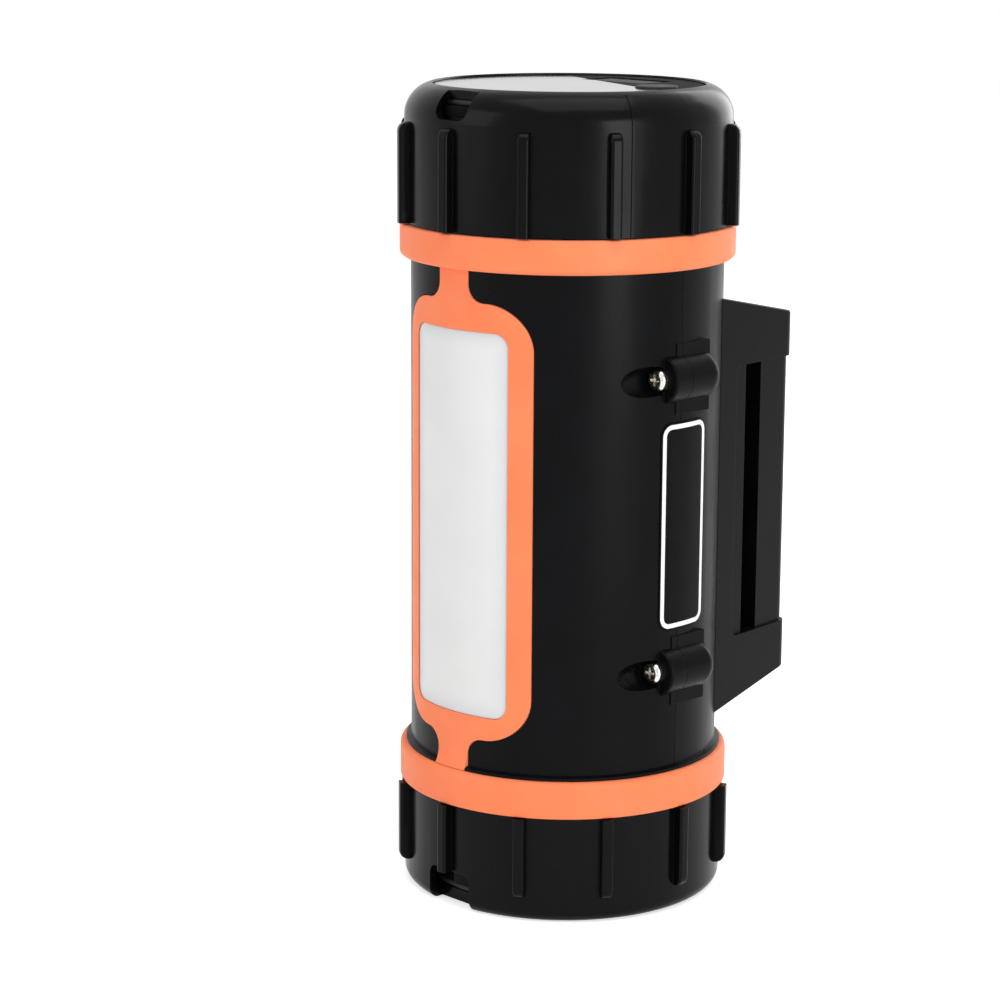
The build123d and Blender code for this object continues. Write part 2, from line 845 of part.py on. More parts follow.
tray_screw = pan_screw(
    tray_screw_radius, tray_screw_length, tray_screw_head, tray_screw_head_height, small_cross_depth
)
tray_screw_plane = Plane(origin=(0, -tray_depth_y, 0), x_dir=(1, 0, 0), z_dir=(0, 1, 0))
with BuildPart(tray_screw_plane) as tray_screws:
    for height in tray_screw_z:
        with Locations((-tray_screw_x, -height), (tray_screw_x, -height)):
            add(tray_screw)

# ------------------------------------------------------------------ side screws and label
shell_screw = pan_screw(shank_radius, shank_length, head_radius, head_height, cross_depth)
with BuildPart(Plane.XZ.offset(boss_front)) as shell_screws:
    with Locations((0, screw_mid_z)):
        with GridLocations(2 * screw_offset, screw_span, 2, 2):
            add(shell_screw)

outline_inner = outline_margin + outline_width
label_outer = body_radius + label_proud
label_bore = body_radius - label_sunk + face_fit
outline_bore = label_outer - outline_depth
with BuildPart() as outline_ring:
    add(label_solid(outline_margin, outline_bore, label_outer))
    add(label_solid(outline_inner, outline_bore - 1, label_outer + 1), mode=Mode.SUBTRACT)

with BuildPart() as label_plate:
    add(label_solid(0, label_bore, label_outer))
    add(outline_ring.part, mode=Mode.SUBTRACT)

label_outline = outline_ring

# ------------------------------------------------------------------ rear bracket
root_low = bracket_mid_z - bracket_root_height / 2
root_high = bracket_mid_z + bracket_root_height / 2
tip_low = bracket_mid_z - bracket_tip_height / 2
tip_high = bracket_mid_z + bracket_tip_height / 2


def bracket_plan(inset, front):
    """The bracket seen from above: it narrows from the body to its outer face."""
    taper = (bracket_root_half - bracket_tip_half) / (bracket_depth_y - bracket_root_y)
    half_front = bracket_root_half - taper * (front - bracket_root_y) - inset
    half_tip = bracket_tip_half - inset
    with BuildSketch() as plan:
        with BuildLine():
            Polyline(
                (-half_front, front),
                (half_front, front),
                (half_tip, bracket_depth_y - recess_face_share * inset),
                (-half_tip, bracket_depth_y - recess_face_share * inset),
                close=True,
            )
        make_face()
        fillet(plan.vertices().group_by(Axis.Y)[-1], bracket_corner)
    return plan.sketch


with BuildPart() as bracket_block:
    with BuildSketch(Plane.XY.offset(root_low)):
        add(bracket_plan(0, bracket_root_y))
    extrude(amount=bracket_root_height)
    with BuildSketch(Plane.YZ.offset(-body_radius)):
        with BuildLine():
            Polyline(
                (bracket_root_y, root_low),
                (bracket_depth_y, tip_low),
                (bracket_depth_y, tip_high),
                (bracket_root_y, root_high),
                close=True,
            )
        make_face()
    extrude(amount=2 * body_radius, mode=Mode.INTERSECT)
    long_edges = bracket_block.edges().filter_by(lambda e: e.center().Y > bracket_root_y + 1)
    fillet(long_edges, bracket_edge)

with BuildPart() as side_recess:
    with BuildSketch(Plane.XY.offset(slot_low_z)):
        with Locations((0, recess_front_y + body_radius)):
            Rectangle(4 * body_radius, 2 * body_radius)
        add(bracket_plan(recess_depth, bracket_root_y), mode=Mode.SUBTRACT)
    extrude(amount=slot_height)
    with BuildSketch(Plane.YZ.offset(-2 * body_radius)):
        with Locations((recess_front_y + body_radius, slot_mid_z)):
            RectangleRounded(2 * body_radius, slot_height, recess_corner)
    extrude(amount=4 * body_radius, mode=Mode.INTERSECT)

cradle_axis_y = bracket_depth_y + cradle_radius - cradle_depth
pad_seat_radius = cradle_radius + rear_pad_thickness - pad_seat_sunk
cradle_half = cradle_radius * sin(radians(rear_pad_half_angle))

with BuildPart() as rear_bracket:
    add(bracket_block.part)
    add(ring(0, body_radius + face_fit, 0, overall_height), mode=Mode.SUBTRACT)
    add(side_recess.part, mode=Mode.SUBTRACT)
    with BuildSketch(Plane.XY.offset(slot_low_z)):
        with Locations((0, slot_front_y + slot_width / 2)):
            Rectangle(4 * body_radius, slot_width)
    extrude(amount=slot_height, mode=Mode.SUBTRACT)
    with BuildSketch(Plane.XY):
        with Locations((0, cradle_axis_y)):
            Circle(cradle_radius)
    extrude(amount=overall_height, mode=Mode.SUBTRACT)
    with BuildSketch(Plane.XY.offset(bracket_mid_z - rear_pad_height / 2 - close_fit)):
        with Locations((0, cradle_axis_y)):
            Circle(pad_seat_radius)
        with Locations((0, bracket_depth_y)):
            Rectangle(2 * (cradle_half + close_fit), 2 * slot_width, mode=Mode.INTERSECT)
    extrude(amount=rear_pad_height + 2 * close_fit, mode=Mode.SUBTRACT)
    with BuildSketch(Plane.XZ.offset(-(body_radius - bracket_hole_start))):
        for height in bracket_screw_z:
            with Locations((-bracket_screw_x, height), (bracket_screw_x, height)):
                Circle(shank_radius + thread_fit)
    extrude(amount=-bracket_hole_depth, mode=Mode.SUBTRACT)

with BuildPart() as rear_pad:
    with BuildSketch(Plane.XY.offset(bracket_mid_z - rear_pad_height / 2)):
        with Locations((0, cradle_axis_y)):
            Circle(pad_seat_radius - face_fit)
            Circle(pad_seat_radius - rear_pad_thickness, mode=Mode.SUBTRACT)
        with Locations((0, bracket_depth_y)):
            Rectangle(2 * cradle_half, 2 * slot_width, mode=Mode.INTERSECT)
    extrude(amount=rear_pad_height)
    with BuildSketch(Plane.XZ.offset(-bracket_depth_y - 2)):
        with Locations((0, bracket_mid_z)):
            with GridLocations(1, rear_pad_height / pad_rib_count, 1, pad_rib_count - 1):
                Rectangle(2 * (cradle_half - pad_groove_margin), pad_groove_width)
    rib_cut_depth = bracket_depth_y + 2 - (cradle_axis_y - pad_seat_radius + pad_groove_depth)
    extrude(amount=rib_cut_depth, mode=Mode.SUBTRACT)

bracket_screw_seat = bracket_seat_y - bracket_screw_sunk
bracket_screw = pan_screw(shank_radius, shank_length, head_radius, head_height, cross_depth)
bracket_screw_plane = Plane(origin=(0, bracket_screw_seat, 0), x_dir=(1, 0, 0), z_dir=(0, -1, 0))
with BuildPart(bracket_screw_plane) as bracket_screws:
    for height in bracket_screw_z:
        with Locations((-bracket_screw_x, height), (bracket_screw_x, height)):
            add(bracket_screw)

# ------------------------------------------------------------------ battery pack
def cell_places(radius):
    """Circles at the four cells of a layer."""
    with BuildSketch() as places:
        with GridLocations(cell_pitch, cell_pitch, 2, 2):
            Circle(radius)
    return places.sketch


def cell_layer(low):
    """Four cells standing at a height, each with its raised terminal."""
    with BuildPart() as layer:
        with BuildSketch(Plane.XY.offset(low)):
            add(cell_places(cell_radius))
        extrude(amount=cell_length - neck_height)
        fillet(layer.edges().group_by(Axis.Z)[-1], cell_edge_round)
        with BuildSketch(Plane.XY.offset(low + cell_length - neck_height)):
            add(cell_places(terminal_radius))
        extrude(amount=neck_height)
    return layer


lower_cells = cell_layer(lower_cell_z)
upper_cells = cell_layer(upper_cell_z)


def cell_holder(floor_z, below, above):
    """A holder plate with pockets for the cells below and above its floor."""
    low = floor_z - (holder_pocket if below else 0)
    high = floor_z + holder_floor + (holder_pocket if above else 0)
    with BuildPart() as holder:
        with BuildSketch(Plane.XY.offset(low)):
            RectangleRounded(2 * holder_half, 2 * holder_half, holder_corner)
            Circle(rod_radius + close_fit, mode=Mode.SUBTRACT)
        extrude(amount=high - low)
        if below:
            with BuildSketch(Plane.XY.offset(low)):
                add(cell_places(cell_radius + close_fit))
            extrude(amount=holder_pocket, mode=Mode.SUBTRACT)
        if above:
            with BuildSketch(Plane.XY.offset(floor_z + holder_floor)):
                add(cell_places(cell_radius + close_fit))
            extrude(amount=holder_pocket, mode=Mode.SUBTRACT)
    return holder


cell_holder_base = cell_holder(pack_z, False, True)
cell_holder_middle = cell_holder(middle_z, True, True)
top_holder_plate = cell_holder(pack_floor_top, True, False)
with BuildPart() as cell_holder_top:
    add(top_holder_plate.part)
    with BuildSketch(Plane.XY.offset(pack_top)):
        with GridLocations(post_pitch_x, post_pitch_y, 2, 2):
            Circle(battery_post_radius)
    extrude(amount=battery_board_rise)

bar_levels = [
    pack_z + holder_floor,
    middle_z - bar_thickness,
    middle_z + holder_floor,
    pack_floor_top - bar_thickness,
]
with BuildPart() as bus_bars:
    for level in bar_levels:
        with BuildSketch(Plane.XY.offset(level)):
            with GridLocations(cell_pitch, cell_pitch, 2, 2):
                RectangleRounded(bar_width, bar_width, bar_corner)
        extrude(amount=bar_thickness)

with BuildPart() as pack_bolt:
    with BuildSketch(Plane.XY.offset(pack_z - rod_head_height)):
        Circle(rod_head_radius)
    extrude(amount=rod_head_height)
    with BuildSketch(Plane.XY.offset(pack_z - 1)):
        Circle(rod_radius)
    extrude(amount=pack_top + bolt_over - pack_z + 1)

with BuildPart() as pack_nut:
    with BuildSketch(Plane.XY.offset(pack_top)):
        RegularPolygon(rod_head_radius, 6)
        Circle(rod_radius + thread_fit, mode=Mode.SUBTRACT)
    extrude(amount=nut_height)

with BuildPart() as battery_board:
    with BuildSketch(Plane.XY.offset(battery_board_z)):
        RectangleRounded(battery_board_x, battery_board_y, 2)
    extrude(amount=board_thickness)
    with BuildSketch(Plane.XY.offset(battery_board_z + board_thickness)):
        with GridLocations(chip_pitch, 0, 3, 1):
            Rectangle(chip_length, chip_width)
    extrude(amount=chip_height)

# ------------------------------------------------------------------ top panel and control board
well_width = cover_plug_width + 2 * cover_plug_room
well_length = cover_plug_length + 2 * cover_plug_room

with BuildPart() as top_panel:
    with BuildSketch(Plane.XY.offset(top_neck_z)):
        Circle(lip_bore_radius - move_gap)
    extrude(amount=panel_z - top_neck_z)
    chamfer(top_panel.edges().group_by(Axis.Z)[-1], panel_edge)
    with BuildSketch(Plane.XY.offset(top_neck_z)):
        Circle(panel_flange_radius)
    extrude(amount=panel_flange)
    with BuildSketch(Plane.XY.offset(top_neck_z)):
        Circle(lip_bore_radius - move_gap - panel_skirt)
    extrude(amount=panel_under_z - top_neck_z, mode=Mode.SUBTRACT)
    # key that stops the panel turning with the cap
    with BuildSketch(Plane.XY.offset(top_neck_z - panel_key_depth)):
        with Locations((0, neck_bore + panel_key_reach / 2)):
            Rectangle(panel_key_width, panel_key_reach)
    extrude(amount=panel_key_depth)
    # thick seat under the sockets' cover
    with BuildSketch(Plane.XY.offset(panel_z - cover_recess - cover_block)):
        with Locations((0, cover_y - 1)):
            Rectangle(cover_width + 2 * cover_block_side, cover_length + 2 * cover_block_end)
        Circle(lip_bore_radius - move_gap - 1, mode=Mode.INTERSECT)
    extrude(amount=cover_recess + cover_block - 1)
    with BuildSketch(Plane.XY.offset(board_top_z)):
        with PolarLocations(board_post_ring, 4, start_angle=fastener_angle):
            Circle(board_post_radius)
    extrude(amount=board_post_height + 1)
    with BuildSketch(Plane.XY.offset(board_top_z)):
        with PolarLocations(board_post_ring, 4, start_angle=fastener_angle):
            Circle(board_screw_radius + thread_fit)
    extrude(amount=board_post_height - board_post_solid, mode=Mode.SUBTRACT)
    with BuildSketch(Plane.XY.offset(panel_z - cover_recess)):
        with Locations((0, cover_y)):
            Rectangle(cover_width, cover_length)
    extrude(amount=cover_recess + 1, mode=Mode.SUBTRACT)
    with BuildSketch(Plane.XY.offset(panel_z - cover_recess - cover_block - 1)):
        with Locations((0, cover_y)):
            Rectangle(well_width, well_length)
    extrude(amount=cover_recess + cover_block + 1, mode=Mode.SUBTRACT)
    with BuildSketch(Plane.YZ.offset(-cover_width / 2 - cover_pin_reach - cover_pin_end_gap)):
        with Locations((cover_pin_y, cover_pin_z)):
            Circle(cover_pin_radius + cover_pin_gap)
    extrude(amount=cover_width + 2 * (cover_pin_reach + cover_pin_end_gap), mode=Mode.SUBTRACT)
    with BuildSketch(Plane.XY.offset(panel_under_z - 1)):
        with Locations((button_x, button_y)):
            Circle(button_radius + move_gap)
    extrude(amount=panel_skin + 2, mode=Mode.SUBTRACT)

with BuildPart() as power_button:
    with BuildSketch(Plane.XY.offset(panel_under_z - close_fit - button_flange_thickness)):
        with Locations((button_x, button_y)):
            Circle(button_radius + button_flange)
    extrude(amount=button_flange_thickness)
    with BuildSketch(Plane.XY.offset(panel_under_z - close_fit)):
        with Locations((button_x, button_y)):
            Circle(button_radius)
    extrude(amount=panel_skin + close_fit + button_proud)
    fillet(power_button.edges().group_by(Axis.Z)[-1], button_edge_round)
    with BuildSketch(Plane.XY.offset(board_top_z + switch_height + switch_stem_gap + button_travel)):
        with Locations((button_x, button_y)):
            Circle(button_stem_radius)
    extrude(until=Until.NEXT)

with BuildPart() as power_switch:
    with BuildSketch(Plane.XY.offset(board_top_z)):
        with Locations((button_x, button_y)):
            Rectangle(switch_size, switch_size)
    extrude(amount=switch_height)
    with BuildSketch(Plane.XY.offset(board_top_z + switch_height)):
        with Locations((button_x, button_y)):
            Circle(switch_stem_radius)
    extrude(amount=switch_stem_height)

flap_edge_y = cover_edge_y - cover_length + move_gap
flap_low_z = cover_pin_z - cover_thickness / 2
with BuildPart() as port_cover:
    with BuildSketch(Plane.YZ.offset(-cover_width / 2 + move_gap)):
        with Locations(((flap_edge_y + cover_pin_y) / 2, cover_pin_z)):
            Rectangle(cover_pin_y - flap_edge_y, cover_thickness)
        with Locations((cover_pin_y, cover_pin_z)):
            Circle(cover_thickness / 2)
    extrude(amount=cover_width - 2 * move_gap)
    with BuildSketch(Plane.YZ.offset(-cover_width / 2 - cover_pin_reach)):
        with Locations((cover_pin_y, cover_pin_z)):
            Circle(cover_pin_radius)
    extrude(amount=cover_width + 2 * cover_pin_reach)
    with BuildSketch(Plane.XY.offset(flap_low_z)):
        with Locations((0, cover_y)):
            RectangleRounded(cover_plug_width, cover_plug_length, cover_plug_corner)
    extrude(amount=-cover_plug_depth)

socket_top_z = panel_z - cover_recess - cover_plug_depth - plug_end_gap
with BuildPart() as charge_socket:
    with BuildSketch(Plane.XY.offset(board_top_z)):
        with Locations((socket_offset, cover_y)):
            Circle(min(jack_radius, well_length / 2 - close_fit))
    extrude(amount=socket_top_z - board_top_z)
    with BuildSketch(Plane.XY.offset(board_top_z + 1)):
        with Locations((socket_offset, cover_y)):
            Circle(jack_bore)
            Circle(jack_pin, mode=Mode.SUBTRACT)
    extrude(amount=socket_top_z - board_top_z, mode=Mode.SUBTRACT)

with BuildPart() as usb_socket:
    with BuildSketch(Plane.XY.offset(board_top_z)):
        with Locations((-socket_offset, cover_y)):
            SlotOverall(usb_width, usb_depth)
    extrude(amount=socket_top_z - board_top_z)
    with BuildSketch(Plane.XY.offset(board_top_z + 1)):
        with Locations((-socket_offset, cover_y)):
            SlotOverall(usb_width - 2 * usb_wall, usb_depth - 2 * usb_wall)
            Rectangle(usb_width - 2 * usb_tongue_inset, usb_tongue_thickness, mode=Mode.SUBTRACT)
    extrude(amount=socket_top_z - board_top_z, mode=Mode.SUBTRACT)

with BuildPart() as control_board:
    with BuildSketch(Plane.XY.offset(board_z)):
        Circle(board_radius)
        with PolarLocations(board_post_ring, 4, start_angle=fastener_angle):
            Circle(board_hole_radius, mode=Mode.SUBTRACT)
    extrude(amount=board_thickness)

with BuildPart() as control_parts:
    with BuildSketch(Plane.XY.offset(board_top_z)):
        with Locations(control_chip_at):
            Rectangle(control_chip_size, control_chip_size)
        with Locations(*driver_at):
            Rectangle(driver_length, driver_width)
    extrude(amount=control_chip_height)
    with BuildSketch(Plane.XY.offset(board_top_z)):
        with Locations(*capacitor_at):
            Circle(capacitor_radius)
    extrude(amount=capacitor_height)

board_screw = pan_screw(
    board_screw_radius, board_screw_length, board_screw_head, board_screw_head_height, small_cross_depth
)
board_screw_plane = Plane(origin=(0, 0, board_z), x_dir=(1, 0, 0), z_dir=(0, 0, -1))
with BuildPart(board_screw_plane) as board_screws:
    with PolarLocations(board_post_ring, 4, start_angle=fastener_angle):
        add(board_screw)

# ------------------------------------------------------------------ seals and caps
seal_ring_radius = panel_flange_radius - seal_inset
with BuildPart() as top_seal:
    add(seal_ring(seal_ring_radius, panel_flange_top + seal_section / 2))

with BuildPart() as bottom_seal:
    add(seal_ring(seal_ring_radius, bottom_lip + seal_room / 2))


def grip_rib(low, high, round_low):
    """One grip rib at the +X side, its free end rounded off."""
    with BuildPart() as rib:
        with BuildSketch(Plane.XZ.offset(-rib_width / 2)) as side:
            middle = (cap_radius - 1 + rib_radius) / 2
            with Locations((middle, (low + high) / 2)):
                Rectangle(rib_radius - cap_radius + 1, high - low)
            corners = side.vertices().group_by(Axis.X)[-1]
            fillet(corners.sort_by(Axis.Y)[0 if round_low else -1], rib_corner)
        extrude(amount=rib_width)
        fillet(rib.faces().sort_by(Axis.X)[-1].edges().filter_by(Axis.Z), rib_crest_round)
    return rib.part


def cap_lugs(lug_z):
    """The bayonet lugs inside a cap, at the locked place."""
    tip = neck_radius - channel_depth + lug_tip_gap
    low = lug_z - lug_height / 2
    lugs = []
    for index in range(lug_count):
        start = lug_first + index * 360 / lug_count - lug_arc / 2
        lugs.append(ring_sector(tip, cap_bore + weld, low, low + lug_height, start, lug_arc))
    return lugs


shoulder_axis = cap_radius - shoulder_radius
shoulder_arc = degrees(acos((lip_bore_radius + rim_edge - shoulder_axis) / shoulder_radius))
top_rim_z = overall_height - shoulder_radius * sin(radians(shoulder_arc))
top_rib_z = top_cap_z + top_rib_start
inside_z = overall_height - top_lip - shoulder_inside
notch_reach = rib_radius

bead_turn = radians(bead_angle - 90)
bead_plane = Plane(
    origin=(0, 0, 0),
    x_dir=(cos(bead_turn), sin(bead_turn), 0),
    z_dir=(sin(bead_turn), -cos(bead_turn), 0),
)
bead_outer = shoulder_radius + bead_proud
bead_inner = shoulder_radius - bead_proud
bead_end = radians(bead_arc)
with BuildPart() as parting_bead:
    with BuildSketch(bead_plane):
        with BuildLine():
            Polyline(
                (shoulder_axis + bead_inner, top_rim_z),
                (shoulder_axis + bead_inner, top_cap_z + cap_join_gap),
                (shoulder_axis + bead_outer, top_cap_z + cap_join_gap),
                (shoulder_axis + bead_outer, top_rim_z),
            )
            CenterArc((shoulder_axis, top_rim_z), bead_outer, 0, bead_arc)
            Line(
                (shoulder_axis + bead_outer * cos(bead_end), top_rim_z + bead_outer * sin(bead_end)),
                (shoulder_axis + bead_inner * cos(bead_end), top_rim_z + bead_inner * sin(bead_end)),
            )
            CenterArc((shoulder_axis, top_rim_z), bead_inner, bead_arc, -bead_arc)
        make_face()
    extrude(amount=bead_width / 2, both=True)

with BuildPart() as top_cap:
    with BuildSketch(Plane.XZ):
        with BuildLine():
            Polyline((cap_radius, top_rim_z), (cap_radius, top_cap_z + cap_join_gap))
            Line((cap_radius, top_cap_z + cap_join_gap), (cap_bore, top_cap_z + cap_join_gap))
            Line((cap_bore, top_cap_z + cap_join_gap), (cap_bore, inside_z))
            CenterArc((cap_bore - shoulder_inside, inside_z), shoulder_inside, 0, 90)
            Polyline(
                (cap_bore - shoulder_inside, overall_height - top_lip),
                (lip_bore_radius, overall_height - top_lip),
                (lip_bore_radius, overall_height - rim_edge),
                (lip_bore_radius + rim_edge, overall_height),
            )
            CenterArc((shoulder_axis, top_rim_z), shoulder_radius, 0, shoulder_arc)
        make_face()
    revolve(axis=Axis.Z)
    add(cap_lugs(top_lug_z))
    with PolarLocations(0, rib_count):
        add(grip_rib(top_rib_z, top_rib_z + top_rib_length, False))
    add(parting_bead.part)
    with BuildSketch(Plane.XZ.offset(lip_bore_radius + notch_land)):
        with Locations((0, overall_height)):
            RectangleRounded(top_notch_width, 2 * top_notch_height, notch_corner)
    extrude(amount=notch_reach, mode=Mode.SUBTRACT)

with BuildPart() as bottom_cap:
    with BuildSketch(Plane.XZ):
        with BuildLine():
            Polyline(
                (lip_bore_radius, rim_edge),
                (lip_bore_radius, bottom_lip),
                (cap_bore, bottom_lip),
                (cap_bore, bottom_cap_height - cap_join_gap),
                (cap_radius, bottom_cap_height - cap_join_gap),
                (cap_radius, foot_radius),
            )
            CenterArc((cap_radius - foot_radius, foot_radius), foot_radius, 0, -90)
            Polyline(
                (cap_radius - foot_radius, 0),
                (lip_bore_radius + rim_edge, 0),
                (lip_bore_radius, rim_edge),
            )
        make_face()
    revolve(axis=Axis.Z)
    add(cap_lugs(bottom_lug_z))
    rib_low = bottom_cap_height - cap_join_gap - bottom_rib_length
    with PolarLocations(0, rib_count):
        add(grip_rib(rib_low, bottom_cap_height - cap_join_gap, True))
    with BuildSketch(Plane.XZ.offset(lip_bore_radius + notch_land)):
        RectangleRounded(bottom_notch_width, 2 * bottom_notch_height, notch_corner)
    extrude(amount=notch_reach, mode=Mode.SUBTRACT)

# ------------------------------------------------------------------ torch in the foot
with BuildPart() as torch_lens:
    with BuildSketch(Plane.XY.offset(lens_z)):
        Circle(panel_flange_radius)
    extrude(amount=torch_lens_thickness - face_fit)
    chamfer(torch_lens.edges().group_by(Axis.Z)[0], lens_edge)

bowl_z = reflector_z + reflector_flange
bowl_run = reflector_radius ** 2 - reflector_throat ** 2
bowl_slope = 2 * reflector_radius * reflector_depth / bowl_run
bowl_middle = (reflector_radius + reflector_throat) / 2
collar_radius = neck_bore - collar_gap
bowl_control_z = bowl_z + bowl_slope * (reflector_radius - bowl_middle)
with BuildPart() as torch_reflector:
    with BuildSketch(Plane.XZ):
        with BuildLine():
            Line((reflector_radius, reflector_z), (panel_flange_radius, reflector_z))
            Line((panel_flange_radius, reflector_z), (panel_flange_radius, bowl_z - face_fit))
            Line((panel_flange_radius, bowl_z - face_fit), (collar_radius, bowl_z - face_fit))
            Line((collar_radius, bowl_z - face_fit), (collar_radius, bowl_z + reflector_wall))
            Line(
                (collar_radius, bowl_z + reflector_wall),
                (reflector_radius, bowl_z + reflector_wall),
            )
            Bezier(
                (reflector_radius, bowl_z + reflector_wall),
                (bowl_middle, bowl_control_z + reflector_wall),
                (reflector_throat, throat_z + reflector_wall),
            )
            Line((reflector_throat, throat_z + reflector_wall), (reflector_throat, throat_z))
            Bezier(
                (reflector_throat, throat_z),
                (bowl_middle, bowl_control_z),
                (reflector_radius, bowl_z),
            )
            Line((reflector_radius, bowl_z), (reflector_radius, reflector_z))
        make_face()
    revolve(axis=Axis.Z)
    # collar that the emitter's board sits on
    with BuildSketch(Plane.XY.offset(throat_z)):
        Circle(led_board_radius)
        Circle(reflector_throat, mode=Mode.SUBTRACT)
    extrude(amount=reflector_wall)

with BuildPart() as torch_led:
    with BuildSketch(Plane.XY.offset(led_board_z)):
        Circle(led_board_radius)
    extrude(amount=board_thickness)
    with BuildSketch(Plane.XY.offset(led_board_z)):
        Circle(led_dome_radius)
    extrude(amount=-led_dome_radius - 1)
    fillet(torch_led.edges().group_by(Axis.Z)[0], led_dome_radius - led_dome_flat)

with BuildPart() as torch_heatsink:
    with BuildSketch(Plane.XY.offset(sink_disc_z)):
        Circle(sink_radius)
        with PolarLocations(sink_screw_ring, sink_screw_count, start_angle=fastener_angle):
            Circle(shank_radius + close_fit, mode=Mode.SUBTRACT)
        with Locations((0, torch_lead_y + torch_lead_side)):
            Rectangle(2 * (wire_radius + lead_side), torch_lead_notch, mode=Mode.SUBTRACT)
    extrude(amount=sink_disc)
    with BuildSketch(Plane.XY.offset(sink_core_z)):
        Circle(sink_core_radius)
        with PolarLocations(sink_core_radius + sink_fin_offset, sink_fin_count):
            Rectangle(sink_fin_length, sink_fin_thickness)
    extrude(amount=sink_disc_z - sink_core_z)

sink_screw = pan_screw(
    shank_radius, sink_screw_length, sink_screw_head, sink_screw_head_height, small_cross_depth
)
sink_screw_plane = Plane(origin=(0, 0, sink_disc_z), x_dir=(1, 0, 0), z_dir=(0, 0, -1))
with BuildPart(sink_screw_plane) as heatsink_screws:
    with PolarLocations(sink_screw_ring, sink_screw_count, start_angle=fastener_angle):
        add(sink_screw)


# ------------------------------------------------------------------ wires
def wire(points, bends):
    """A round wire along straight runs joined by tangent arcs."""
    with BuildLine(mode=Mode.PRIVATE) as route:
        FilletPolyline(*points, radius=bends)
    start = Plane(origin=points[0], z_dir=Vector(*points[1]) - Vector(*points[0]))
    with BuildPart() as piece:
        with BuildSketch(start):
            Circle(wire_radius)
        sweep(path=route.line)
    return piece


battery_top_z = battery_board_z + board_thickness
positive_lead = wire(
    [
        (*positive_foot, battery_top_z),
        (*positive_foot, battery_top_z + lead_tail),
        (*positive_top, board_z - lead_tail),
        (*positive_top, board_z),
    ],
    wire_bend,
)
negative_lead = wire(
    [
        (*negative_foot, battery_top_z),
        (*negative_foot, battery_top_z + lead_tail),
        (*negative_top, board_z - lead_tail),
        (*negative_top, board_z),
    ],
    wire_bend,
)
light_board_top_z = window_mid_z + light_board_height / 2
lamp_lead_board_y = 1 - board_post_ring
torch_lead_board_y = board_post_ring - 2
lamp_lead = wire(
    [
        (0, -lead_y - lead_side, light_board_top_z),
        (0, -lead_y - lead_side, max(ledge_top_z, tray_top_z + tray_ear) + lamp_lead_rise),
        (0, lamp_lead_board_y, board_z - short_tail),
        (0, lamp_lead_board_y, board_z),
    ],
    wire_bend,
)
torch_lead = wire(
    [
        (0, torch_lead_y, sink_disc_z - 1),
        (0, torch_lead_y, ledge_top_z + short_tail),
        (0, torch_lead_board_y, board_z - lead_tail),
        (0, torch_lead_board_y, board_z),
    ],
    wire_bend,
)

# ------------------------------------------------------------------ write every piece
pieces = {
    "front_shell": front_shell,
    "rear_shell": rear_shell,
    "rear_bracket": rear_bracket,
    "rear_pad": rear_pad,
    "bracket_screws": bracket_screws,
    "upper_band": upper_band,
    "lower_band": lower_band,
    "lens_frame": lens_frame,
    "light_panel": light_panel,
    "light_tray": light_tray,
    "light_board": light_board,
    "light_leds": light_leds,
    "tray_screws": tray_screws,
    "shell_screws": shell_screws,
    "label_plate": label_plate,
    "label_outline": label_outline,
    "top_cap": top_cap,
    "bottom_cap": bottom_cap,
    "top_panel": top_panel,
    "top_seal": top_seal,
    "bottom_seal": bottom_seal,
    "power_button": power_button,
    "power_switch": power_switch,
    "port_cover": port_cover,
    "charge_socket": charge_socket,
    "usb_socket": usb_socket,
    "control_board": control_board,
    "control_parts": control_parts,
    "board_screws": board_screws,
    "battery_board": battery_board,
    "positive_lead": positive_lead,
    "negative_lead": negative_lead,
    "lamp_lead": lamp_lead,
    "torch_lead": torch_lead,
    "cell_holder_base": cell_holder_base,
    "cell_holder_middle": cell_holder_middle,
    "cell_holder_top": cell_holder_top,
    "lower_cells": lower_cells,
    "upper_cells": upper_cells,
    "bus_bars": bus_bars,
    "pack_bolt": pack_bolt,
    "pack_nut": pack_nut,
    "torch_lens": torch_lens,
    "torch_reflector": torch_reflector,
    "torch_led": torch_led,
    "torch_heatsink": torch_heatsink,
    "heatsink_screws": heatsink_screws,
}
for name, piece in pieces.items():
    piece.part.label = name
    export_step(piece.part, f"parts/{name}.step")
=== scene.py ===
import json
import math

import bpy
from mathutils import Matrix, Vector

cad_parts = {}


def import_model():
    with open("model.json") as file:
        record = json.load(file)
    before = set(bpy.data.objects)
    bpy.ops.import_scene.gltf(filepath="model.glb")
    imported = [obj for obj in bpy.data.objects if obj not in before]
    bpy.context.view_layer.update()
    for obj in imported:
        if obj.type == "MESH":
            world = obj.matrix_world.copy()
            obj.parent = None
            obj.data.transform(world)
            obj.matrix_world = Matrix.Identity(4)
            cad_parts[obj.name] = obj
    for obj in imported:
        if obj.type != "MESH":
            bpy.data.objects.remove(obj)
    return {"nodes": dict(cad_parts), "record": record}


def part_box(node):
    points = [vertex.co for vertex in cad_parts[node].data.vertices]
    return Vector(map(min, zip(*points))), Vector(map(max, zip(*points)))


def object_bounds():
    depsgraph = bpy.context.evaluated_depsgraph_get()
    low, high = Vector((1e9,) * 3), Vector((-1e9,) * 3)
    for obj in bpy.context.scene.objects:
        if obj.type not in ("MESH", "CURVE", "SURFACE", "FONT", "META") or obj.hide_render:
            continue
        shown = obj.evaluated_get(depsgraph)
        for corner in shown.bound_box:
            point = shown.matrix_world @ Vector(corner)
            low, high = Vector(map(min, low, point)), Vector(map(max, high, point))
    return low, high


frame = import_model()
cad_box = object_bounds()
scene = bpy.context.scene

# ---------------------------------------------------------------- sizes, in metres and radians

MM = 0.001

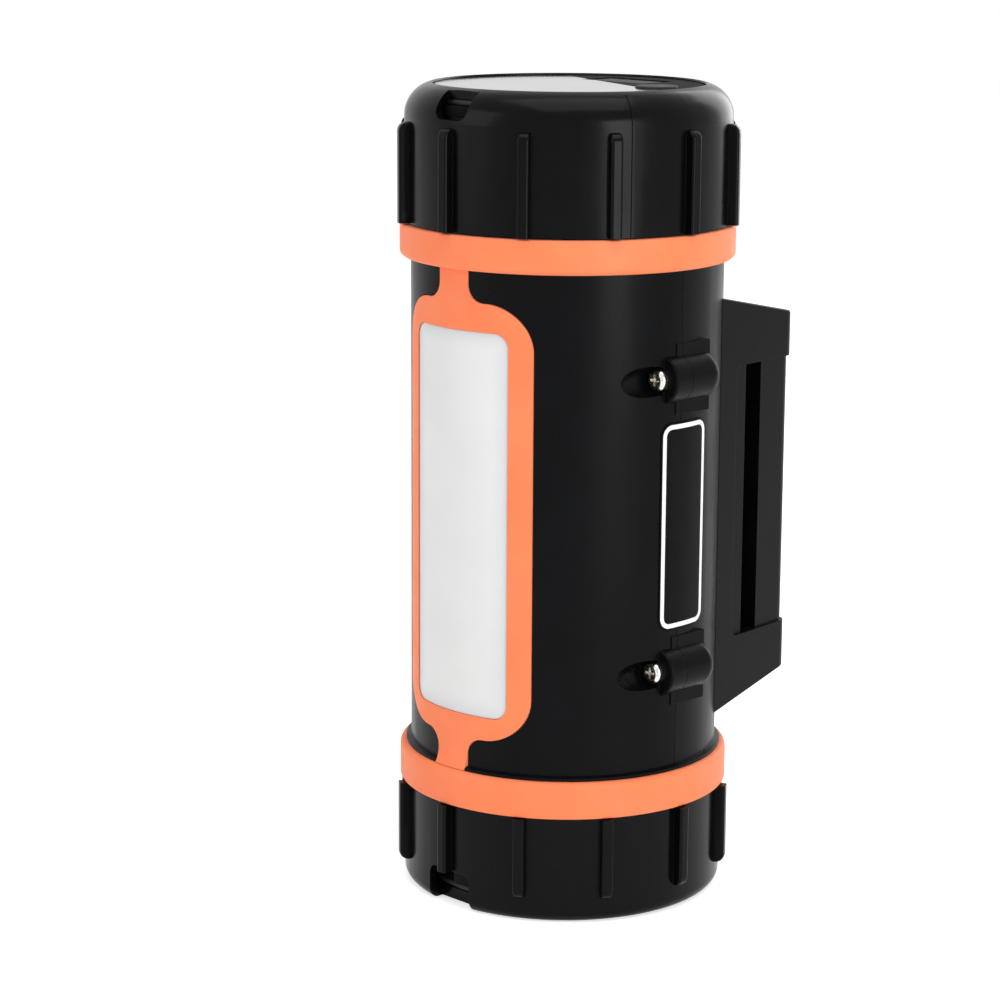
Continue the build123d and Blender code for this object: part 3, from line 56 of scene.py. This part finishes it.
# the camera stands in front of the light panel and to its right, a little above the cap, and looks down;
# its distance is from the lantern's axis, and its height from the foot
camera_turn = math.radians(44.5)
camera_distance = 0.8378
camera_height = 0.2920
camera_yaw = -0.0227
camera_pitch = 0.2100
camera_roll = 0.0054

# its lens and sensor are in millimetres
camera_lens = 105.34
sensor_width = 36.0

# the top disc is matt past a straight line, given by the line's unit normal and distance from the axis,
# and past the radius at which the cap's lip covers it
matt_line_normal = (0.3846, 0.9231)
matt_line_offset = 13.7 * MM
matt_line_blend = 0.2 * MM
disc_radius = 39.1 * MM

# the torch's lens is clear and its bowl is plated inside this radius, and both are black past it
torch_clear_radius = 35.5 * MM
radius_blend = 0.1 * MM

# the light panel's colour greys towards its outline between these distances from it, as painted shade from
# the frame
painted_shade_start = 0.5 * MM
painted_shade_end = 8.5 * MM

# an edge counts in full below the first cosine between its eased and flat normals, and not at all above
# the second
edge_full = 0.80
edge_none = 0.995

# ---------------------------------------------------------------- node helpers


def shade(tone, share):
    """The tone made darker or lighter by share."""
    return tuple(min(1.0, c * share) for c in tone)


class Finish:
    """A Principled material with colour, roughness and relief worked out in object space."""

    def __init__(self, name, **sockets):
        self.material = bpy.data.materials.new(name)
        self.material.use_nodes = True
        self.tree = self.material.node_tree
        self.shader = self.tree.nodes["Principled BSDF"]
        self.place = self.node("ShaderNodeTexCoord").outputs["Object"]
        for socket, value in sockets.items():
            self.feed(socket.replace("_", " "), value)

    def node(self, kind, **settings):
        made = self.tree.nodes.new(kind)
        for setting, value in settings.items():
            setattr(made, setting, value)
        return made

    def put(self, source, target):
        """Links a socket, or sets a plain value."""
        if isinstance(source, bpy.types.NodeSocket):
            self.tree.links.new(source, target)
        else:
            target.default_value = source

    def feed(self, socket, source):
        """Puts a socket or a plain value on the shader."""
        self.put(source, self.shader.inputs[socket])

    # values

    def combine(self, first, second, operation="ADD"):
        made = self.node("ShaderNodeMath", operation=operation)
        self.put(first, made.inputs[0])
        self.put(second, made.inputs[1])
        return made.outputs["Value"]

    def spread(self, value, low, high, start=0.3, end=0.7, interpolation="LINEAR"):
        """Maps value from start..end to low..high."""
        made = self.node("ShaderNodeMapRange", interpolation_type=interpolation)
        self.put(value, made.inputs["Value"])
        made.inputs["From Min"].default_value = start
        made.inputs["From Max"].default_value = end
        made.inputs["To Min"].default_value = low
        made.inputs["To Max"].default_value = high
        return made.outputs["Result"]

    def between(self, factor, first, second):
        """first where factor is 0, second where it is 1."""
        return self.spread(factor, first, second, start=0, end=1)

    def past(self, value, limit, blend):
        """0 where value is below limit, 1 where it is above, blended over the step."""
        return self.spread(value, 0, 1, start=limit - blend, end=limit + blend)

    # vectors

    def vector(self, operation, first, second):
        made = self.node("ShaderNodeVectorMath", operation=operation)
        self.put(first, made.inputs[0])
        self.put(second, made.inputs[1])
        return made.outputs

    def parts(self, vector):
        """The vector's X, Y and Z sockets."""
        made = self.node("ShaderNodeSeparateXYZ")
        self.put(vector, made.inputs["Vector"])
        return made.outputs

    def beyond(self, radius):
        """0 within radius of the lantern's axis, 1 past it."""
        flat = self.vector("MULTIPLY", self.place, (1, 1, 0))["Vector"]
        length = self.vector("LENGTH", flat, (0, 0, 0))["Value"]
        return self.past(length, radius, radius_blend)

    # patterns

    def noise(self, size, detail=3.0, stretch=(1, 1, 1)):
        """Cloudy noise whose blobs are about size metres across, and longer where stretch is below 1."""
        made = self.node("ShaderNodeTexNoise")
        self.put(self.vector("MULTIPLY", self.place, stretch)["Vector"], made.inputs["Vector"])
        made.inputs["Scale"].default_value = 1 / size
        made.inputs["Detail"].default_value = detail
        return made.outputs["Fac"]

    def cells(self, size):
        """Distance to scattered points about size metres apart, as a share of size."""
        made = self.node("ShaderNodeTexVoronoi", feature="F1")
        self.put(self.place, made.inputs["Vector"])
        made.inputs["Scale"].default_value = 1 / size
        return made.outputs["Distance"]

    def uneven(self, low, high, size, detail=3.0):
        """A value that drifts from low to high in blobs about size metres across."""
        return self.spread(self.noise(size, detail), low, high)

    def mix(self, factor, first, second):
        made = self.node("ShaderNodeMix", data_type="RGBA")
        self.put(factor, made.inputs["Factor"])
        colours = [socket for socket in made.inputs if socket.type == "RGBA"]
        for colour, target in zip((first, second), colours):
            self.put((*colour, 1) if isinstance(colour, tuple) else colour, target)
        return next(socket for socket in made.outputs if socket.type == "RGBA")

    def cloudy(self, first, second, size, detail=3.0, start=0.3, end=0.7):
        """A colour that drifts from first to second in blobs about size metres across."""
        return self.mix(self.spread(self.noise(size, detail), 0, 1, start, end), first, second)

    # edges and relief

    def rounded(self, radius):
        """The surface's normal with its edges eased to radius."""
        made = self.node("ShaderNodeBevel", samples=4)
        made.inputs["Radius"].default_value = radius
        return made.outputs["Normal"]

    def edge(self, radius):
        """1 on an edge of the surface, 0 away from it."""
        flat = self.node("ShaderNodeNewGeometry").outputs["Normal"]
        cosine = self.vector("DOT_PRODUCT", self.rounded(radius), flat)["Value"]
        return self.spread(cosine, 1, 0, edge_full, edge_none)

    def worn_edge(self, radius, wear, size):
        """Up to wear on an edge, in blobs about size metres across, and 0 away from it."""
        return self.combine(self.edge(radius), self.uneven(0, wear, size), "MULTIPLY")

    def relief(self, height, depth, ease=0.0):
        """Bumps the surface by depth metres, over edges eased to a radius."""
        made = self.node("ShaderNodeBump")
        made.inputs["Strength"].default_value = 1.0
        made.inputs["Distance"].default_value = depth
        self.put(height, made.inputs["Height"])
        if ease:
            self.put(self.rounded(ease), made.inputs["Normal"])
        self.feed("Normal", made.outputs["Normal"])

    def colour(self, source):
        self.base = source
        self.feed("Base Color", source)

    def roughness(self, source):
        self.feed("Roughness", source)


# ---------------------------------------------------------------- moulded plastics


def moulded(name, tone, roughness, grain, grain_depth, wear, gloss):
    """Moulded plastic: spark-eroded grain, faint cloudiness and slightly rubbed edges."""
    finish = Finish(name, Specular_IOR_Level=gloss)
    dark = shade(tone, 0.85)
    light = shade(tone, 1.25)
    rubbed = shade(tone, 3.2)
    worn = finish.worn_edge(0.35 * MM, wear, size=2.5 * MM)
    finish.colour(finish.mix(worn, finish.cloudy(dark, light, size=14 * MM, detail=4), rubbed))
    streaks = finish.noise(9 * MM, detail=5, stretch=(1, 1, 0.35))
    smear = finish.spread(streaks, roughness - 0.05, roughness + 0.06)
    finish.roughness(finish.combine(smear, finish.uneven(-0.02, 0.02, size=0.5 * MM)))
    finish.relief(finish.noise(grain, detail=2), depth=grain_depth, ease=0.18 * MM)
    return finish.material


def shell_black():
    return moulded(
        "shell_black", (0.0024, 0.0026, 0.0031), roughness=0.31,
        grain=0.28 * MM, grain_depth=0.010 * MM, wear=0.35, gloss=0.06,
    )


def cap_black():
    return moulded(
        "cap_black", (0.0020, 0.0021, 0.0025), roughness=0.22,
        grain=0.45 * MM, grain_depth=0.004 * MM, wear=0.30, gloss=0.085,
    )


def chip_black():
    return moulded(
        "chip_black", (0.012, 0.012, 0.013), roughness=0.45,
        grain=0.2 * MM, grain_depth=0.01 * MM, wear=0.2, gloss=0.5,
    )


def holder_grey():
    return moulded(
        "holder_grey", (0.06, 0.06, 0.065), roughness=0.5,
        grain=0.3 * MM, grain_depth=0.01 * MM, wear=0.2, gloss=0.5,
    )


def panel_black():
    """Polished black with fine hairlines and a little dust, matt past a straight line and under the lip."""
    finish = Finish("panel_black", Coat_Roughness=0.06)
    parts = finish.parts(finish.place)
    across = finish.combine(
        finish.combine(parts["X"], matt_line_normal[0], "MULTIPLY"),
        finish.combine(parts["Y"], matt_line_normal[1], "MULTIPLY"),
    )
    matt = finish.past(across, matt_line_offset, matt_line_blend)
    matt = finish.combine(matt, finish.beyond(disc_radius), "MAXIMUM")
    finish.feed("Specular IOR Level", finish.between(matt, 0.55, 0.05))
    finish.feed("Coat Weight", finish.between(matt, 0.4, 0))
    deep = (0.006, 0.006, 0.007)
    hazy = (0.010, 0.010, 0.011)
    finish.colour(finish.cloudy(deep, hazy, size=11 * MM))
    along_y = finish.noise(0.35 * MM, detail=2, stretch=(1, 0.04, 1))
    along_x = finish.noise(0.4 * MM, detail=2, stretch=(0.05, 1, 1))
    hairlines = finish.combine(
        finish.spread(along_y, 0, 0.05, start=0.55, end=0.75),
        finish.spread(along_x, 0, 0.05, start=0.6, end=0.8),
    )
    dust = finish.spread(finish.cells(1.6 * MM), 0.10, 0, start=0.02, end=0.07)
    finish.roughness(finish.combine(finish.combine(hairlines, dust), finish.between(matt, 0.14, 0.75)))
    finish.relief(finish.noise(3 * MM, detail=2), depth=0.006 * MM, ease=0.15 * MM)
    return finish.material


# ---------------------------------------------------------------- rubbers


def orange_rubber():
    """Orange soft-touch overmould: even and matte, with a velvety grain and faint mottling."""
    deep = (0.96, 0.212, 0.076)
    bright = (0.98, 0.240, 0.094)
    fleck = (0.80, 0.16, 0.05)
    rubbed = (1.0, 0.36, 0.16)
    finish = Finish("orange_rubber", Specular_IOR_Level=0.35, Sheen_Weight=0.08, Sheen_Roughness=0.5)
    even = finish.cloudy(deep, bright, size=16 * MM, detail=4)
    flecks = finish.spread(finish.cells(0.7 * MM), 0.12, 0, start=0.05, end=0.30)
    worn = finish.worn_edge(0.4 * MM, 0.4, size=3 * MM)
    finish.colour(finish.mix(worn, finish.mix(flecks, even, fleck), rubbed))
    finish.roughness(finish.uneven(0.52, 0.66, size=5 * MM, detail=4))
    finish.relief(finish.noise(0.3 * MM), depth=0.014 * MM, ease=0.25 * MM)
    return finish.material


def black_rubber():
    """Matte rubber with a fine pebble and greyish bloom in patches."""
    clean = (0.010, 0.010, 0.010)
    bloom = (0.020, 0.020, 0.021)
    finish = Finish("black_rubber", Specular_IOR_Level=0.35)
    finish.colour(finish.cloudy(clean, bloom, size=6 * MM, detail=5, start=0.4, end=0.75))
    finish.roughness(finish.uneven(0.58, 0.74, size=2 * MM))
    pebble = finish.combine(finish.cells(0.45 * MM), finish.noise(0.2 * MM))
    finish.relief(pebble, depth=0.02 * MM, ease=0.2 * MM)
    return finish.material


# ---------------------------------------------------------------- light panel, tray and torch


def diffuser_white():
    """Milky polycarbonate: light scatters inside, and its colour greys towards the frame as painted shade
    from it.
    """
    milky = (0.735, 0.74, 0.735)
    bright = (0.77, 0.775, 0.77)
    # painted shade: the grey that the panel's colour takes near its outline
    painted_frame_shade = (0.63, 0.65, 0.69)
    finish = Finish(
        "diffuser_white", Specular_IOR_Level=0.5,
        Subsurface_Weight=0.35, Subsurface_Scale=2.0 * MM, Subsurface_Radius=(1.0, 1.0, 1.05),
    )
    low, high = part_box("light_panel")
    offset = finish.parts(finish.vector("SUBTRACT", finish.place, tuple((low + high) / 2))["Vector"])
    margins = []
    for axis, size in (("X", high.x - low.x), ("Z", high.z - low.z)):
        away = finish.combine(offset[axis], 0.0, "ABSOLUTE")
        margins.append(finish.combine(size / 2, away, "SUBTRACT"))
    nearest = finish.combine(margins[0], margins[1], "MINIMUM")
    # painted shade: the colour greys towards the panel's outline, where the frame's shadow falls
    clear_of_painted_shade = finish.spread(nearest, 0, 1, painted_shade_start, painted_shade_end, "SMOOTHSTEP")
    finish.colour(finish.mix(clear_of_painted_shade, painted_frame_shade, finish.cloudy(milky, bright, size=22 * MM)))
    finish.roughness(finish.uneven(0.36, 0.46, size=4 * MM, detail=4))
    finish.relief(finish.noise(0.25 * MM, detail=2), depth=0.004 * MM, ease=0.2 * MM)
    return finish.material


def white_tray():
    """Bright white reflector plastic, faintly grained."""
    creamy = (0.78, 0.78, 0.77)
    bright = (0.83, 0.83, 0.83)
    finish = Finish("white_tray", Specular_IOR_Level=0.5)
    finish.colour(finish.cloudy(creamy, bright, size=8 * MM))
    finish.roughness(finish.uneven(0.40, 0.52, size=2 * MM))
    finish.relief(finish.noise(0.3 * MM), depth=0.006 * MM, ease=0.2 * MM)
    return finish.material


def led_yellow():
    """Phosphor under a clear dome: yellow, granular, glossy."""
    deep = (0.80, 0.62, 0.10)
    pale = (0.90, 0.78, 0.28)
    finish = Finish(
        "led_yellow", Subsurface_Weight=0.2, Subsurface_Scale=0.5 * MM,
        Coat_Weight=0.8, Coat_Roughness=0.05,
    )
    finish.colour(finish.cloudy(deep, pale, size=0.15 * MM, detail=2))
    finish.roughness(finish.uneven(0.30, 0.45, size=0.4 * MM))
    finish.relief(finish.noise(0.12 * MM), depth=0.006 * MM)
    return finish.material


def clear_lens():
    """Clear moulded lens with a hint of flow lines and dust, black and opaque past a radius."""
    tinted = (0.93, 0.96, 0.97)
    clear = (0.98, 0.99, 1.0)
    border_black = (0.003, 0.003, 0.003)
    finish = Finish("clear_lens", IOR=1.49)
    # past the clear radius the lens is black and opaque, which darkens what the cap's notches show
    border = finish.beyond(torch_clear_radius)
    finish.feed("Transmission Weight", finish.between(border, 1, 0))
    finish.feed("Specular IOR Level", finish.between(border, 0.5, 0.05))
    finish.colour(finish.mix(border, finish.cloudy(tinted, clear, size=9 * MM), border_black))
    dust = finish.spread(finish.cells(1.8 * MM), 0.18, 0, start=0.02, end=0.06)
    finish.roughness(finish.combine(dust, finish.uneven(0.01, 0.05, size=5 * MM)))
    finish.relief(finish.noise(6 * MM, detail=1), depth=0.010 * MM)
    return finish.material


# ---------------------------------------------------------------- metals


def metal(name, light, dark, roughness, stretch=(1, 1, 1), grain=0.3 * MM, depth=0.004 * MM):
    """Bare or plated metal: fine grain, a few darker stains and brighter edges."""
    finish = Finish(name, Metallic=1.0)
    stained = finish.cloudy(light, dark, size=1.2 * MM, detail=5, start=0.45, end=0.75)
    bright = shade(light, 1.2)
    finish.colour(finish.mix(finish.edge(0.12 * MM), stained, bright))
    grained = finish.noise(grain, stretch=stretch)
    finish.roughness(finish.spread(grained, roughness - 0.06, roughness + 0.10))
    finish.relief(grained, depth=depth, ease=0.06 * MM)
    return finish


def nickel():
    return metal("nickel", (0.80, 0.77, 0.70), (0.45, 0.41, 0.34), roughness=0.20).material


def aluminium():
    """Drawn aluminium, with its grain along the lantern's axis."""
    finish = metal(
        "aluminium", (0.72, 0.73, 0.75), (0.55, 0.56, 0.58), roughness=0.34,
        stretch=(1, 1, 0.05), grain=0.2 * MM,
    )
    return finish.material


def mirror_bowl():
    """A bowl plated inside a radius, and black and not metallic past it."""
    finish = metal(
        "mirror_bowl", (0.92, 0.92, 0.93), (0.84, 0.85, 0.88), roughness=0.09,
        grain=2.5 * MM, depth=0.002 * MM,
    )
    flange_black = (0.004, 0.004, 0.004)
    # past the clear radius the bowl is black and not metallic, which darkens what the cap's notches show
    flange = finish.beyond(torch_clear_radius)
    finish.colour(finish.mix(flange, finish.base, flange_black))
    finish.feed("Metallic", finish.between(flange, 1, 0))
    finish.feed("Specular IOR Level", finish.between(flange, 0.5, 0.1))
    return finish.material


# ---------------------------------------------------------------- label


def label_black():
    """Printed film, with the slight orange peel of an adhesive label."""
    deep = (0.0025, 0.0025, 0.0030)
    hazy = (0.0040, 0.0040, 0.0045)
    finish = Finish("label_black", Specular_IOR_Level=0.05)
    finish.colour(finish.cloudy(deep, hazy, size=7 * MM))
    finish.roughness(finish.uneven(0.40, 0.50, size=3 * MM, detail=4))
    finish.relief(finish.noise(1.4 * MM, detail=2), depth=0.006 * MM, ease=0.08 * MM)
    return finish.material


def label_white():
    """Screen-printed white ink: a dense, slightly uneven coat."""
    thin = (0.84, 0.84, 0.84)
    thick = (0.90, 0.90, 0.90)
    finish = Finish("label_white", Specular_IOR_Level=0.45)
    finish.colour(finish.cloudy(thin, thick, size=1.1 * MM, detail=4, start=0.35, end=0.65))
    finish.roughness(finish.uneven(0.42, 0.55, size=0.8 * MM))
    finish.relief(finish.noise(0.25 * MM), depth=0.005 * MM, ease=0.06 * MM)
    return finish.material


# ---------------------------------------------------------------- boards, cells and leads


def board_green():
    """Solder mask over copper: tracks show as slightly lighter lines with a soft relief."""
    track_pitch = 6 * MM
    dark_mask = (0.006, 0.065, 0.022)
    light_mask = (0.008, 0.085, 0.030)
    over_copper = (0.03, 0.16, 0.05)
    finish = Finish("board_green", Specular_IOR_Level=0.5)
    tracks = finish.node("ShaderNodeTexBrick", offset=0.35, squash=0.8)
    finish.put(finish.place, tracks.inputs["Vector"])
    tracks.inputs["Scale"].default_value = 1 / track_pitch
    tracks.inputs["Mortar Size"].default_value = 0.035
    tracks.inputs["Mortar Smooth"].default_value = 0.3
    copper = tracks.outputs["Fac"]
    mask = finish.cloudy(dark_mask, light_mask, size=0.6 * MM)
    finish.colour(finish.mix(copper, mask, over_copper))
    finish.roughness(finish.uneven(0.28, 0.40, size=3 * MM))
    finish.relief(copper, depth=0.03 * MM)
    return finish.material


def sleeve(name, tone, crinkle):
    """Shrunk or extruded plastic over a core: soft gloss and fine crinkles."""
    finish = Finish(name, Specular_IOR_Level=0.5)
    dark = shade(tone, 0.8)
    finish.colour(finish.cloudy(dark, tone, size=4 * MM))
    finish.roughness(finish.uneven(0.30, 0.42, size=2 * MM))
    finish.relief(finish.noise(crinkle, stretch=(1, 1, 0.3)), depth=0.02 * MM)
    return finish.material


def cell_wrap():
    return sleeve("cell_wrap", (0.03, 0.14, 0.42), 2.0 * MM)


def wire_red():
    return sleeve("wire_red", (0.45, 0.02, 0.015), 0.8 * MM)


def wire_black():
    return sleeve("wire_black", (0.012, 0.012, 0.012), 0.8 * MM)


# ---------------------------------------------------------------- every node gets its slot's finish

finishes = {
    build.__name__: build()
    for build in (
        shell_black, cap_black, panel_black, orange_rubber, diffuser_white, black_rubber, nickel,
        white_tray, board_green, led_yellow, label_black, label_white, clear_lens, mirror_bowl,
        aluminium, cell_wrap, holder_grey, chip_black, wire_red, wire_black,
    )
}

for part in frame["record"]["subparts"]:
    mesh = frame["nodes"][part["node"]].data
    mesh.materials.clear()
    mesh.materials.append(finishes[part["material_slot"]])

# ---------------------------------------------------------------- camera


def camera():
    turned = Matrix.Rotation(camera_turn, 3, "Z")
    forward = turned @ Vector((
        math.sin(camera_yaw) * math.cos(camera_pitch),
        math.cos(camera_yaw) * math.cos(camera_pitch),
        -math.sin(camera_pitch),
    ))
    level = turned @ Vector((math.cos(camera_yaw), -math.sin(camera_yaw), 0))
    upright = level.cross(forward)
    right = math.cos(camera_roll) * level + math.sin(camera_roll) * upright
    up = math.cos(camera_roll) * upright - math.sin(camera_roll) * level
    eye = turned @ Vector((0, -camera_distance, camera_height))
    lens = bpy.data.cameras.new("camera")
    lens.lens = camera_lens
    lens.sensor_width = sensor_width
    made = bpy.data.objects.new("camera", lens)
    made.matrix_world = Matrix.Translation(eye) @ Matrix((right, up, -forward)).transposed().to_4x4()
    scene.collection.objects.link(made)
    scene.camera = made


# ---------------------------------------------------------------- floor and light

white = (1, 1, 1, 1)
paper_white = (0.92, 0.92, 0.92, 1)

# the glow brings the lit paper up to the white of the background, for the camera, gloss and glass alone
paper_glow = 0.585
floor_half = 3.0
floor_gap = 0.02 * MM

background_strength = 1.0
daylight_strength = 0.45

# the lamps are aimed at a point on the axis at about half the lantern's height
lamp_aim_height = 0.12


def seen_or_lit(tree, shown, lit):
    """Gives shown to what the camera, gloss and glass see, and lit to what lights the object."""
    path = tree.nodes.new("ShaderNodeLightPath")
    seen = path.outputs["Is Camera Ray"]
    for ray in ("Is Glossy Ray", "Is Transmission Ray"):
        either = tree.nodes.new("ShaderNodeMath")
        either.operation = "MAXIMUM"
        tree.links.new(seen, either.inputs[0])
        tree.links.new(path.outputs[ray], either.inputs[1])
        seen = either.outputs["Value"]
    mixed = tree.nodes.new("ShaderNodeMixShader")
    tree.links.new(seen, mixed.inputs["Fac"])
    tree.links.new(lit, mixed.inputs[1])
    tree.links.new(shown, mixed.inputs[2])
    return mixed.outputs["Shader"]


def floor_material():
    material = bpy.data.materials.new("studio_floor")
    material.use_nodes = True
    tree = material.node_tree
    tree.nodes.remove(tree.nodes["Principled BSDF"])
    paper = tree.nodes.new("ShaderNodeBsdfDiffuse")
    paper.inputs["Color"].default_value = paper_white
    glow = tree.nodes.new("ShaderNodeEmission")
    glow.inputs["Strength"].default_value = paper_glow
    both = tree.nodes.new("ShaderNodeAddShader")
    tree.links.new(paper.outputs["BSDF"], both.inputs[0])
    tree.links.new(glow.outputs["Emission"], both.inputs[1])
    surface = seen_or_lit(tree, both.outputs["Shader"], paper.outputs["BSDF"])
    tree.links.new(surface, tree.nodes["Material Output"].inputs["Surface"])
    return material


def floor():
    mesh = bpy.data.meshes.new("studio_floor")
    sides = ((-1, -1), (1, -1), (1, 1), (-1, 1))
    mesh.from_pydata([(floor_half * x, floor_half * y, 0) for x, y in sides], [], [(0, 1, 2, 3)])
    mesh.materials.append(floor_material())
    made = bpy.data.objects.new("studio_floor", mesh)
    made.location.z = cad_box[0].z - floor_gap
    scene.collection.objects.link(made)


def world():
    made = bpy.data.worlds.new("studio")
    made.use_nodes = True
    tree = made.node_tree
    lit = tree.nodes["Background"]
    shown = tree.nodes.new("ShaderNodeBackground")
    for sky, strength in ((lit, daylight_strength), (shown, background_strength)):
        sky.inputs["Color"].default_value = white
        sky.inputs["Strength"].default_value = strength
    surface = seen_or_lit(tree, shown.outputs["Background"], lit.outputs["Background"])
    tree.links.new(surface, tree.nodes["World Output"].inputs["Surface"])
    scene.world = made


def softbox(name, azimuth, elevation, distance, width, height, power):
    """A rectangular lamp, in metres and watts, aimed at the lantern. Its azimuth and elevation are in
    degrees: an azimuth of 0 is in front of the light panel, at -Y, and one of 90 is at +X."""
    lamp = bpy.data.lights.new(name, "AREA")
    lamp.shape = "RECTANGLE"
    lamp.size = width
    lamp.size_y = height
    lamp.energy = power
    made = bpy.data.objects.new(name, lamp)
    turn = math.radians(azimuth)
    rise = math.radians(elevation)
    flat = distance * math.cos(rise)
    aim = Vector((0, 0, lamp_aim_height))
    reach = Vector((flat * math.sin(turn), -flat * math.cos(turn), distance * math.sin(rise)))
    facing = (-reach).to_track_quat("-Z", "Y").to_matrix().to_4x4()
    made.matrix_world = Matrix.Translation(aim + reach) @ facing
    scene.collection.objects.link(made)


camera()
floor()
world()
softbox("key", azimuth=-25, elevation=20, distance=1.3, width=0.7, height=0.9, power=4)
softbox("strip", azimuth=80, elevation=8, distance=1.0, width=0.42, height=0.6, power=5)
softbox("side", azimuth=190, elevation=20, distance=1.2, width=0.7, height=0.9, power=5)
softbox("overhead", azimuth=60, elevation=80, distance=1.2, width=1.0, height=1.0, power=7)

scene.view_settings.view_transform = "Standard"
